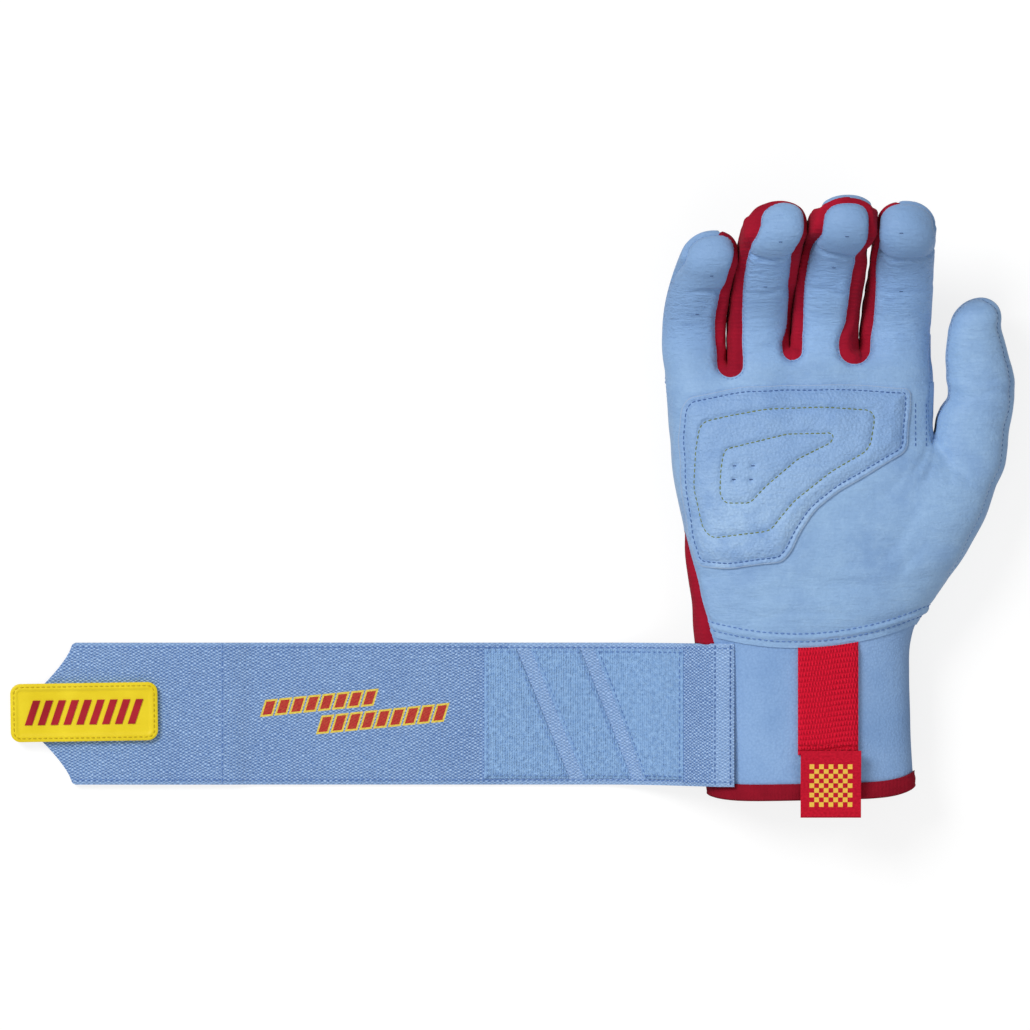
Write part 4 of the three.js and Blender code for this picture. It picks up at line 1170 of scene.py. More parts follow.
# Thumb
# Two hides seamed along both sides; the outer seam lies a little inside the edge, so that the back hide shows
# there.
THUMB_CREASES = (
    # length along the thumb, depth, width
    (22, 0.35, 1.5), (27, 0.25, 1.2), (8, 0.3, 1.6), (35, 0.2, 1.2),
)
THUMB_BOX = ((38, 108, -2), (80, 186, 40))
raw = skin(*THUMB_BOX, thumb_distance)
at = raw["at"]
raw["front"] = hide_seam(at, raw["normal"])
raw["zone"] = thumb_zone(at)
push = palm_relief(at, raw["normal"]) + seam_dent(raw["front"])
length, side, *_ = DIGITS["thumb"].along(at)
bulge = ease(length, 4, 12) * ease(raw["normal"][:, 2], 0.0, 0.6)
push += 0.2 * waves(at, 12, 31, (0.8, 1.0, 1.0)) * bulge
for place, deep, width in THUMB_CREASES:
    push -= deep * peak(length - place + 0.9 * np.sin(side * 0.3 + place), 0, width) * bulge
pushed(raw, push)
raw = part(raw, raw["zone"])
thumb_front = part(raw, raw["front"])
THUMB_BEND = ((58.5, 129.5, 16.0), (67.5, 141.5, 16.0))
bends["thumb"] = ("hand", "thumb", *[in_frame(place) for place in THUMB_BEND])
cover("thumb", thumb_front, part(raw, -raw["front"]))


# Threads
# Polyester sewing thread in short lock stitches. One node tree lays a small arched thread at every step of a
# seam line, standing on the surface that the line was drawn on.
STITCH_SIZES = ("Spacing", "Length", "Thickness")


def node_group(name, **inputs):
    """A geometry node tree with named inputs, and those inputs."""
    tree = bpy.data.node_groups.new(name, "GeometryNodeTree")
    for label, kind in {"Geometry": "Geometry", **inputs}.items():
        tree.interface.new_socket(label, in_out="INPUT", socket_type="NodeSocket" + kind)
    tree.interface.new_socket("Geometry", in_out="OUTPUT", socket_type="NodeSocketGeometry")
    return tree, node(tree, "NodeGroupInput").outputs


def arched(tree, ends, sides, radius):
    """A thin rod along a bow through three places, each across and up."""
    ends = [node(tree, "ShaderNodeCombineXYZ", {"X": x, "Z": z}).outputs[0] for x, z in ends]
    given = {"Resolution": 4, **dict(zip(("Start", "Middle", "End"), ends))}
    bow = node(tree, "GeometryNodeCurveQuadraticBezier", given)
    ring = node(tree, "GeometryNodeCurvePrimitiveCircle", {"Resolution": sides, "Radius": radius})
    given = {"Curve": bow.outputs[0], "Profile Curve": ring.outputs[0], "Fill Caps": True}
    return node(tree, "GeometryNodeCurveToMesh", given).outputs[0]


def laid_out(tree, points, instance, finish, **turned):
    """Ends a tree: a shape on every point, made real and given its finish."""
    given = {"Points": points, "Instance": instance, **turned}
    laid = node(tree, "GeometryNodeInstanceOnPoints", given)
    real = node(tree, "GeometryNodeRealizeInstances", {"Geometry": laid.outputs[0]})
    painted = node(tree, "GeometryNodeSetMaterial", {"Geometry": real.outputs[0], "Material": finish})
    node(tree, "NodeGroupOutput", {"Geometry": painted.outputs[0]})
    return tree


def stitch_tree():
    """Geometry nodes: seam lines in, rows of stitches out."""
    sizes = {key: "Float" for key in STITCH_SIZES}
    tree, given = node_group("stitch_row", **sizes, Thread="Material")
    line = node(tree, "GeometryNodeMeshToCurve", {"Mesh": given["Geometry"]}).outputs["Curve"]
    steps = {"Curve": line, "Length": given["Spacing"]}
    steps = node(tree, "GeometryNodeResampleCurve", steps, mode="LENGTH").outputs[0]
    along = {"Vector": node(tree, "GeometryNodeInputTangent").outputs[0]}
    along = node(tree, "FunctionNodeAlignRotationToVector", along, axis="X").outputs[0]
    surface = node(tree, "GeometryNodeInputNamedAttribute", {"Name": "surface"}, data_type="FLOAT_VECTOR")
    upright = {"Rotation": along, "Vector": surface.outputs[0]}
    upright = node(tree, "FunctionNodeAlignRotationToVector", upright, axis="Z", pivot_axis="X").outputs[0]
    half, behind = [sums(tree, "MULTIPLY", given["Length"], share) for share in (0.5, -0.5)]
    dip, crown, radius = [sums(tree, "MULTIPLY", given["Thickness"], share) for share in (-0.45, 1.15, 0.5)]
    thread = arched(tree, ((behind, dip), (0.0, crown), (half, dip)), 6, radius)
    return laid_out(tree, steps, thread, given["Thread"], Rotation=upright)


stitches = stitch_tree()


def thread_finish(name, dark, light):
    """Twisted thread."""
    thread = Finish(name)
    twist = thread.noise(2200.0, 2.0)
    thread.tone = thread.ramp(twist, dark, light)
    thread.emboss(twist, 0.00008, 0.6)
    return thread.done(0.7, 0.15)


THREADS = {
    # the darker and the lighter tone of each thread
    "blue": ((56, 88, 148), (80, 114, 172)),
    "seam": ((104, 140, 194), (124, 160, 208)),
    "strap": ((88, 122, 182), (108, 142, 200)),
    "loop": ((112, 147, 202), (128, 163, 213)),
    "yellow": ((92, 108, 54), (142, 150, 70)),
    "badge": ((192, 164, 24), (212, 186, 38)),
    "dark": ((62, 84, 126), (84, 110, 156)),
    "red": ((172, 14, 38), (200, 22, 48)),
}
threads = {
    name: thread_finish(name + "_thread", srgb(*dark), srgb(*light))
    for name, (dark, light) in THREADS.items()
}


def grown(name, places, group, sizes, edges=(), normals=()):
    """The plain mesh that a node tree makes of places in the frame, in an object of its own."""
    mesh = bpy.data.meshes.new(name + "_places")
    mesh.vertices.add(len(places))
    mesh.vertices.foreach_set("co", np.asarray(places, np.float32).ravel())
    if len(edges):
        mesh.edges.add(len(edges))
        mesh.edges.foreach_set("vertices", np.asarray(edges, np.int32).ravel())
        surface = mesh.attributes.new("surface", "FLOAT_VECTOR", "POINT")
        surface.data.foreach_set("vector", np.asarray(normals, np.float32).ravel())
    start = bpy.data.objects.new(name + "_places", mesh)
    scene.collection.objects.link(start)
    modifier = start.modifiers.new(group.name, "NODES")
    modifier.node_group = group
    for item in group.interface.items_tree:
        if item.in_out == "INPUT" and item.name in sizes:
            modifier[item.identifier] = sizes[item.name]
    bpy.context.view_layer.update()
    graph = bpy.context.evaluated_depsgraph_get()
    plain = bpy.data.meshes.new_from_object(start.evaluated_get(graph))
    plain.name = name
    plain.polygons.foreach_set("use_smooth", np.ones(len(plain.polygons), bool))
    made = bpy.data.objects.new(name, plain)
    scene.collection.objects.link(made)
    bpy.data.objects.remove(start)
    return made


def sew(name, rows, thread, stitch, slot, carrier):
    """Sews rows, each of points, edges and surface normals; a stitch is its spacing, length and thickness."""
    shift = np.cumsum([0] + [len(row[0]) for row in rows])
    sizes = {key: size * 0.001 for key, size in zip(STITCH_SIZES, stitch)}
    places = in_frame(np.concatenate([row[0] for row in rows]))
    edges = np.concatenate([row[1] + shift[i] for i, row in enumerate(rows)])
    normals = np.concatenate([row[2] for row in rows])
    made = grown(name, places, stitches, {**sizes, "Thread": threads[thread]}, edges, normals)
    fasten(made, slot, carrier)


def line_row(points, normals):
    """A row to sew along points in order."""
    first = np.arange(len(points) - 1)
    return points, np.stack([first, first + 1], 1), normals


def seam_row(panel, value, level):
    """The line on a panel where a value has a level, as a row to sew."""
    cut, rim = trim(panel, value - level)
    used = np.unique(rim)
    place = np.full(len(cut["at"]), -1)
    place[used] = np.arange(len(used))
    return cut["at"][used], place[rim], cut["normal"][used]


def tack_rows(panel, spots, half):
    """Short rows for single tacks, at the places on a panel nearest to given spots."""
    rows = []
    way = np.array([half, 0.0, 0.0])
    for spot in spots:
        near = np.argmin(np.hypot(*(panel["at"][:, :2] - spot).T) - 0.05 * panel["at"][:, 2])
        points = np.stack([panel["at"][near] - way, panel["at"][near] + way])
        rows.append(line_row(points, np.tile(panel["normal"][near], (2, 1))))
    return rows


TACKS = {
    # places of the two small tacks on each finger's front hide, across and along
    "pinky": ((-34.9, 186.5), (-39.3, 173.3)),
    "ring": ((-10.5, 198.1), (-15.4, 183.0)),
    "middle": ((12.7, 199.9), (8.3, 189.3)),
    "index": ((31.9, 200.6), (32.8, 181.2)),
}
INDEX_FOOT = (127.0, 141.0)
INDEX_FOOT_ROWS = (37.9, 41.8)
# spacing, length and thickness of the stitches
FINGER_STITCH = (1.5, 1.0, 0.28)
FINGER_TACK = (0.6, 0.55, 0.36)
CUFF_STITCH = (2.1, 1.4, 0.4)
SIDE_STITCH = (1.7, 1.1, 0.28)
INDEX_FOOT_STITCH = (1.8, 1.2, 0.34)
THUMB_STITCH = (1.8, 1.1, 0.3)

for name, panel in front_panels.items():
    rows = [seam_row(panel, panel["front"], 0.75)]
    sew(name + "_front_seam_stitches", rows, "seam", FINGER_STITCH, "leather", bends[name])
for name, panel in front_panels.items():
    rows = tack_rows(panel, TACKS[name], 0.3)
    sew(name + "_tacks", rows, "dark", FINGER_TACK, "leather", bends[name])

rows = [seam_row(palm_panel, palm_panel["cuff_gap"], level) for level in CUFF_ROWS]
sew("palm_cuff_stitches", rows, "strap", CUFF_STITCH, "leather", "hand")
rows = [seam_row(palm_panel, palm_panel["front"], 1.0)]
sew("palm_side_stitches", rows, "seam", SIDE_STITCH, "leather", "hand")
index_foot = part(palm_panel, palm_panel["at"][:, 1] - INDEX_FOOT[0])
index_foot = part(index_foot, INDEX_FOOT[1] - index_foot["at"][:, 1])
index_foot = part(index_foot, index_foot["normal"][:, 2] - 0.1)
rows = [seam_row(index_foot, index_foot["at"][:, 0], place) for place in INDEX_FOOT_ROWS]
sew("index_foot_stitches", rows, "blue", INDEX_FOOT_STITCH, "leather", "hand")
rows = [seam_row(back_panel, back_panel["cuff_gap"], level) for level in CUFF_ROWS]
sew("back_cuff_stitches", rows, "strap", CUFF_STITCH, "leather", "hand")
rows = [seam_row(thumb_front, thumb_front["front"], 1.0)]
sew("thumb_seam_stitches", rows, "blue", THUMB_STITCH, "leather", bends["thumb"])


# Palm pad
# A second layer of the same hide over thin foam, cut with a raw edge and quilted down on the palm in three
# rings of stitching, with four small tacks in the middle.
PAD_EDGE = np.array([
    [-45.4, 139.6], [-42.6, 143.8], [-22.4, 147.7], [8.0, 148.4], [34.9, 147.3], [36.4, 145.6], [34.9, 124.7],
    [24.7, 118.7], [11.6, 111.2], [2.0, 103.4], [-2.9, 96.7], [-6.5, 89.3], [-9.7, 85.4], [-13.9, 84.7],
    [-28.4, 82.9], [-39.8, 84.0], [-42.6, 93.2], [-45.4, 111.9], [-46.2, 127.0],
])
PAD_OUTER_RING = np.array([
    [-36.6, 135.3], [-27.4, 137.4], [-15.0, 139.6], [5.2, 140.3], [21.5, 139.2], [23.3, 136.7], [21.8, 127.2],
    [19.7, 124.3], [8.0, 117.6], [-5.4, 107.0], [-10.4, 101.0], [-13.9, 96.4], [-34.4, 93.9], [-37.6, 97.4],
    [-40.8, 111.9], [-40.1, 125.4], [-38.7, 133.2],
])
PAD_INNER_RING = np.array([
    [-29.5, 125.4], [-21.0, 127.5], [-7.9, 130.7], [8.0, 131.1], [8.7, 129.3], [7.3, 127.5], [-4.0, 121.9],
    [-15.0, 112.6], [-21.0, 106.3], [-29.8, 106.3], [-31.6, 109.5], [-31.3, 117.6], [-30.5, 122.9],
])
PAD_TACKS = np.array([[-26.3, 119.4], [-19.9, 119.4], [-26.7, 114.4], [-20.6, 114.4]])
PAD_EDGE_INSET = 1.9
PAD_RAW_EDGE = 0.35
PAD_SUNK = 0.4
PAD_GRID = 0.6
PAD_HIDE = 1.3
PAD_FOAM = 1.2
PAD_STITCH = (2.0, 1.35, 0.36)
PAD_TACK = (1.0, 1.1, 0.55)
PAD_LEATHER = (srgb(126, 163, 212), srgb(166, 199, 235), srgb(182, 214, 244))
RAW_EDGE = (srgb(150, 176, 210), srgb(164, 190, 220), srgb(180, 202, 228))


def soft_ring(points, rounding):
    """A closed line through corner points, a little rounded."""
    return rounded(np.column_stack([points, np.full(len(points), rounding)]), 0.6)


def palm_top(x, y):
    """Height of the palm's upper face."""
    low = np.full(len(x), 15.0)
    high = np.full(len(x), 46.0)
    for _ in range(18):
        middle = (low + high) / 2
        inside = hand_distance(np.stack([x, y, middle], 1)) < 0
        low = np.where(inside, middle, low)
        high = np.where(inside, high, middle)
    return (low + high) / 2


def scored(panel, value):
    """A panel with a line of points where a value is zero, not cut apart."""
    both = joined(part(panel, value), part(panel, -value))
    _, first, back = np.unique(both["at"].round(6), axis=0, return_index=True, return_inverse=True)
    made = {key: column[first] for key, column in both.items() if key != "faces"}
    faces = back.reshape(-1)[both["faces"]]
    whole = (faces != np.roll(faces, 1, axis=1)).all(1)
    made["faces"] = faces[whole]
    return made


def panel_of(at, faces, **columns):
    """A panel from its points and faces, with further columns of values."""
    panel = {"at": at, "faces": faces, **columns}
    panel["normal"] = smooth_normals(panel)
    return panel


def as_triangles(quads):
    """Two triangles for each quad."""
    return np.concatenate([quads[:, [0, 1, 2]], quads[:, [0, 2, 3]]])


def grid_faces(shape):
    """Quads of a grid of points."""
    number = np.arange(shape[0] * shape[1]).reshape(shape)
    return np.stack([number[:-1, :-1], number[1:, :-1], number[1:, 1:], number[:-1, 1:]], -1).reshape(-1, 4)


pad_edge = soft_ring(PAD_EDGE, 3.0)
pad_low = pad_edge.min(0) - 2
pad_count = np.ceil((pad_edge.max(0) + 2 - pad_low) / PAD_GRID).astype(int)
pad_flat = lattice(*[pad_low[i] + PAD_GRID * np.arange(pad_count[i]) for i in (0, 1)])
pad_in = inside_by(pad_flat, pad_edge)
pad_in += 0.3 * waves(np.column_stack([pad_flat, pad_flat[:, 0]]), 13, 41) * peak(pad_in, 0, 3)
ground = palm_top(*pad_flat.T)
outer_in = inside_by(pad_flat, soft_ring(PAD_OUTER_RING, 2.5))
inner_in = inside_by(pad_flat, soft_ring(PAD_INNER_RING, 1.6))
crown = PAD_HIDE + PAD_FOAM * ease(pad_in, 1.6, 6.5)
crown += 0.35 * ease(outer_in, 0.6, 4.0) + 0.3 * ease(inner_in, 0.6, 4.0)
crown -= 0.55 * peak(pad_in, PAD_EDGE_INSET, 0.7)
for distance in (outer_in, inner_in):
    crown -= 0.7 * peak(distance, 0, 0.85)
for tack in PAD_TACKS:
    crown -= 1.1 * np.exp(-(((pad_flat - tack) ** 2).sum(1) / 1.1))
crown -= 0.7 * peak(np.maximum(pad_in, 0), 0, 0.5)
for height, length, seed in ((0.16, 11, 43), (0.08, 5, 44)):
    crown += height * waves(np.column_stack([pad_flat, ground]), length, seed) * ease(pad_in, 1.5, 5)
pad_panel = panel_of(
    np.column_stack([pad_flat, ground + crown]),
    as_triangles(grid_faces(pad_count)),
    under=np.column_stack([pad_flat, ground - PAD_SUNK]),
    edge=pad_in,
    outer=outer_in,
    inner=inner_in,
)
pad_panel = part(pad_panel, pad_panel["edge"])
pad_panel = scored(pad_panel, pad_panel["edge"] - PAD_RAW_EDGE)
# painted shade: the pad is darker towards the fingers, standing in for the shade on its upper part
pad_panel["painted_shade"] = 0.7 * ease(pad_panel["at"][:, 1], 92.0, 130.0)
raw_edge = leather_finish("raw_hide_edge", *RAW_EDGE, 1200.0, 0.8)
pad_leather = leather_finish("pebbled_pad_leather", *PAD_LEATHER, 1000.0, 0.5, 0.38, 0.0005)
bare = pad_panel["edge"] < PAD_RAW_EDGE + 0.001
pad = shell("palm_pad_quilted", pad_panel, 0, pad_leather, raw_edge, bare=bare)
fasten(pad, "leather", "hand", "palm_pad", "palm_pad_foam")
pad_seams = {"edge": (PAD_EDGE_INSET, "blue"), "outer": (0.0, "yellow"), "inner": (0.0, "yellow")}
for ring, (level, thread) in pad_seams.items():
    rows = [seam_row(pad_panel, pad_panel[ring], level)]
    sew("pad_%s_stitches" % ring, rows, thread, PAD_STITCH, "leather", "hand")
sew("pad_tacks", tack_rows(pad_panel, PAD_TACKS, 0.5), "dark", PAD_TACK, "leather", "hand")


# Cuff
# A knitted-faced neoprene tube, as wide as the wrist. Its top is sewn under the hides and its hem is turned
# into the red binding.
CUFF_UNDER_HIDE = 0.9
CUFF_LAP = 7.0
CUFF_STEPS = 60
NEOPRENE = 2.2
TUBE_STEPS = 176
turns = np.linspace(0, 2 * np.pi, TUBE_STEPS, endpoint=False)


def hem_line(x):
    """The hem runs a little further down on the little finger side."""
    return HEM + 0.4 + 0.02 * x + 3.2 * np.abs(x / 38.0) ** 6


def wrist_ring(y, inset):
    """Places across and heights round the wrist, for a place along it that may change with the turn."""
    left, right, thick, lift, power = [edge(y) for edge in hand_edges]
    cosine, sine = np.cos(turns), np.sin(turns)
    x = (left + right) / 2 + ((right - left) / 2 - inset) * np.sign(cosine) * np.abs(cosine) ** (2 / power)
    z = thick / 2 + lift + (thick / 2 - inset) * np.sign(sine) * np.abs(sine) ** (2 / power)
    return x, z


def tube_faces(rows, closed):
    """Quads between neighbouring rings; the last ring of a closed tube joins the first."""
    row = np.arange(rows if closed else rows - 1)[:, None] * TUBE_STEPS
    first = row + np.arange(TUBE_STEPS)
    right = row + (np.arange(TUBE_STEPS) + 1) % TUBE_STEPS
    total = rows * TUBE_STEPS
    above = [(right + TUBE_STEPS) % total, (first + TUBE_STEPS) % total]
    return np.stack([first, right, *above], -1).reshape(-1, 4)


jersey = Finish("sky_blue_neoprene")
cell = jersey.cells(1200.0)
jersey.tone = jersey.ramp(jersey.noise(55.0, 4.0), srgb(133, 169, 215), srgb(146, 181, 225), 0.35, 0.65)
jersey.lay(srgb(104, 138, 190), cell, 0.42)
jersey.emboss(cell, 0.0002, 0.7)
jersey.emboss(jersey.noise(1500.0, 3.0), 0.00012, 0.5)
neoprene = jersey.done(0.86, 0.2, 0.18)
top_y = cuff_seam(wrist_ring(60.0, 0)[0]) + CUFF_LAP
bottom_y = hem_line(wrist_ring(2.0, 0)[0])
cuff_y = bottom_y + np.linspace(0, 1, CUFF_STEPS)[:, None] * (top_y - bottom_y)
cuff_x, cuff_z = wrist_ring(cuff_y, CUFF_UNDER_HIDE)
cuff_points = np.stack([cuff_x, cuff_y, cuff_z], -1).reshape(-1, 3)
cuff_panel = panel_of(cuff_points, as_triangles(tube_faces(CUFF_STEPS, False))[:, ::-1])
sag = 0.35 * waves(cuff_points, 26, 51, (1.0, 0.35, 1.0)) * ease(cuff_points[:, 1], 52, 30)
pushed(cuff_panel, sag, 0.3)
cuff = shell("cuff_neoprene", cuff_panel, NEOPRENE, neoprene, neoprene)
fasten(cuff, "neoprene", "hand", "cuff")


# Hem binding
# Red ribbed tape folded over the raw hem of the cuff, so that it covers the cut edge on both faces.
BINDING_HEIGHT = 5.2
BINDING_THICK = 0.85
BINDING_RIB = 0.0005
BINDING_CLEAR = 0.02
BINDING_RED = (srgb(132, 14, 34), srgb(156, 20, 42))

tape = Finish("red_binding_tape")
ribs = tape.bands(BINDING_RIB, "X", 0.7, 1.0, 3.0)
tape.tone = tape.ramp(tape.noise(120.0, 4.0), *BINDING_RED)
tape.lay(BINDING_RED[1], ribs, 0.35)
tape.emboss(ribs, 0.0003, 0.6)
tape.emboss(tape.noise(1900.0, 2.0), 0.0001, 0.5)
binding_tape = tape.done(0.85, 0.12)
reach = (NEOPRENE + 2 * BINDING_THICK) / 2
profile = [
    (BINDING_HEIGHT * (1 - step), -BINDING_THICK + 0.12 * np.sin(9 * step))
    for step in np.linspace(0, 1, 8)
]
profile += [
    (-reach * 0.4 * np.sin(turn), -BINDING_THICK + reach * (1 - np.cos(turn)))
    for turn in np.linspace(0, np.pi, 9)[1:-1]
]
profile += [(BINDING_HEIGHT * step, NEOPRENE + BINDING_THICK) for step in np.linspace(0, 1, 6)]
profile += [(BINDING_HEIGHT * step, NEOPRENE + BINDING_CLEAR) for step in np.linspace(1, 0, 6)]
profile += [(0.0, BINDING_CLEAR), (BINDING_HEIGHT, BINDING_CLEAR)]
rows = []
for height, inset in profile:
    y = hem_line(wrist_ring(2.0, CUFF_UNDER_HIDE + inset)[0]) + height
    x, z = wrist_ring(y, CUFF_UNDER_HIDE + inset)
    rows.append(np.stack([x, y, np.maximum(z, TABLE_CLEAR)], 1))
binding_faces = [tube_faces(len(rows), True)]
binding = mesh_object("hem_binding_tape", np.concatenate(rows), binding_faces, [binding_tape])
fasten(binding, "webbing", "hand", "hem_binding")


# Wrist strap
# One length of woven elastic, sewn to the cuff on the palm side, that runs down round the little finger edge
# and out over the table. It is made in lengths with one fold each.
STRAP_MIDDLE = 31.0
STRAP_HALF = 25.4
STRAP_THICK = 1.6
STRAP_TOP = STRAP_THICK / 2
STRAP_START = -26.4
STRAP_LANDING = -74.0
HOOK_START = -210.4
STRAP_ON_HOOK = 2.3
STRAP_CORNER = -262.4
TONGUE_START = -274.8
STRAP_END = -281.0
TONGUE_HALF = 8.5
STRAP_STEP = 0.25
STRAP_FOLDS = (26.5, 44.5, 111.5, 134.5, 161.5, 224.0)
FOLD_REACH = 8.0
STRAP_BODIES = ("hand", "strap_1", "strap_2", "strap_3", "strap_4", "strap_5", "strap_6")
STRAP_NODES = (
    ("strap_anchor", "strap_ulnar_upper"), ("strap_ulnar_lower",), ("strap_back",), ("strap_radial_lower",),
    ("strap_radial_upper",), ("strap_palm", "strap_end"),
)


def wrist_top(x, y):
    """Height of the wrist's upper face."""
    left, right, thick, lift, power = [edge(np.asarray(y, float)) for edge in hand_edges]
    across = np.minimum(np.abs(x - (left + right) / 2) / ((right - left) / 2), 1)
    return thick / 2 + lift + thick / 2 * (1 - across**power) ** (1 / power)


def bezier(start, first, second, end, count):
    """Points of a cubic curve."""
    t = np.linspace(0, 1, count)[:, None]
    start, first, second, end = [np.asarray(p, float) for p in (start, first, second, end)]
    return (1 - t) ** 3 * start + 3 * t * (1 - t) ** 2 * first + 3 * t * t * (1 - t) * second + t**3 * end


strap_from = wrist_top(STRAP_START, STRAP_MIDDLE) + 0.5
strap_fall = [(STRAP_START, strap_from), (-41.0, strap_from - 1.2)]
strap_fall += [(-48.0, STRAP_TOP), (STRAP_LANDING, STRAP_TOP)]
strap_step = [(HOOK_START + 14, STRAP_TOP), (-202.0, STRAP_TOP)]
strap_step += [(-202.0, STRAP_ON_HOOK), (HOOK_START + 1, STRAP_ON_HOOK)]
strap_line = np.concatenate([bezier(*strap_fall, 240), bezier(*strap_step, 60), [[STRAP_END, STRAP_ON_HOOK]]])
strap_place = lengths_along(strap_line)
strap_even = np.arange(0, strap_place[-1], STRAP_STEP)
strap_x, strap_z = [np.interp(strap_even, strap_place, column) for column in strap_line.T]
tangent_x = np.gradient(strap_x, STRAP_STEP)
tangent_z = np.gradient(strap_z, STRAP_STEP)
STRAP_CUTS = (0.0, 35.5, 78.0, 123.0, 148.0, 192.75, strap_even[-1])


def place_of(x):
    """Length along the strap at a place across the table."""
    return np.interp(-np.asarray(x, float), -strap_x, strap_even)


def strap_at(place, across, rise):
    """A point of the strap: length along it, offset across it and height above its middle."""
    tx = np.interp(place, strap_even, tangent_x)
    tz = np.interp(place, strap_even, tangent_z)
    x = np.interp(place, strap_even, strap_x) + tz * rise
    z = np.interp(place, strap_even, strap_z) - tx * rise
    return np.stack([x, STRAP_MIDDLE + across + 0 * x, z], -1)


def strap_half(place):
    """Half the strap's width, cut to a tongue at its end."""
    x = np.interp(place, strap_even, strap_x)
    share = np.clip((STRAP_CORNER - x) / (STRAP_CORNER - TONGUE_START), 0, 1)
    return STRAP_HALF + (TONGUE_HALF - STRAP_HALF) * share**0.7


def steady(value):
    """A value that stays the same all over, for a square-cut end or an even width."""
    return lambda place: value + 0 * np.asarray(place)


def slab(name, start, end, half, bottom, top, materials, step=1.1, soft=0.3, ripple=None, ends=(True, True)):
    """A flat layer along the strap, closed all round; start and end are functions of the offset across."""
    wide = int(np.ceil(2 * np.max(half(np.array([start(0.0), end(0.0)]))) / 1.3)) + 1
    longest = max(abs(end(s * 20.0) - start(s * 20.0)) for s in (-1, 0, 1))
    rows = max(int(np.ceil(longest / step)), 3) + 1
    u, v = np.meshgrid(np.linspace(0, 1, rows), np.linspace(-1, 1, wide), indexing="ij")
    middle = start(0.0) + u * (end(0.0) - start(0.0))
    across = v * half(middle)
    place = start(across) + u * (end(across) - start(across))
    border = (1 - np.abs(v)) * half(middle)
    if ends[0]:
        border = np.minimum(border, u * longest)
    if ends[1]:
        border = np.minimum(border, (1 - u) * longest)
    crown = top - soft * peak(border, 0, 0.6)
    if ripple is not None:
        crown = crown + ripple(place, across)
    panel = panel_of(
        strap_at(place.ravel(), across.ravel(), crown.ravel()),
        as_triangles(grid_faces(place.shape)[:, ::-1]),
        under=strap_at(place.ravel(), across.ravel(), bottom),
    )
    uv = np.stack([place.ravel(), across.ravel()], 1) * 0.001
    return shell(name, panel, 0, materials[0], materials[-1], uv)


def fold_bend(index):
    """The two bodies at a fold and the ends of the stretch between them."""
    reach = np.array([-FOLD_REACH, FOLD_REACH]) + STRAP_FOLDS[index]
    return STRAP_BODIES[index], STRAP_BODIES[index + 1], *in_frame(strap_at(reach, 0.0, 0.0))


folds = [fold_bend(index) for index in range(len(STRAP_FOLDS))]
PRINT_ROWS = (
    # start along the strap, offset across it, length, height and slope of each printed row of bars
    (0.1760, 0.0019, 0.0393, 0.0046, 0.1),
    (0.1559, -0.0040, 0.0444, 0.0052, 0.1),
)
PRINT_INKS = (
    # colour and how far it reaches past the bars
    (srgb(232, 206, 72), 0.0007),
    (srgb(184, 34, 44), 0.0),
)
PRINT_PITCH = 0.00515
PRINT_BAR = 0.62
PRINT_LEAN = -0.32
WEAVE_PERIOD = (0.00199, 0.00112)
SELVEDGE = (STRAP_HALF - 1.0) * 0.001
DOUBLED_END = 0.0075
LOOP_ZONE = (0.0215, 0.0885)


def woven(cloth, place, period, wander):
    """Raised picks of a weave, 0 to 1, which repeat after two distances and wander a little."""
    shake = node(cloth.tree, "ShaderNodeTexNoise", {"Vector": place, "Scale": 560.0, "Detail": 3.0})
    given = {0: shake.outputs["Color"], 1: (-0.5, -0.5, -0.5)}
    moved = node(cloth.tree, "ShaderNodeVectorMath", given, operation="ADD")
    given = {0: moved.outputs[0], 1: (wander, wander, 0.0), 2: place}
    moved = node(cloth.tree, "ShaderNodeVectorMath", given, operation="MULTIPLY_ADD")
    spot = node(cloth.tree, "ShaderNodeSeparateXYZ", {"Vector": moved.outputs[0]})
    beats = [
        cloth.calc("COSINE", cloth.calc("MULTIPLY", spot.outputs[i], 2 * np.pi / period[i]))
        for i in (0, 1)
    ]
    return cloth.calc("MULTIPLY_ADD", cloth.calc("MULTIPLY", *beats), 0.5, 0.5)


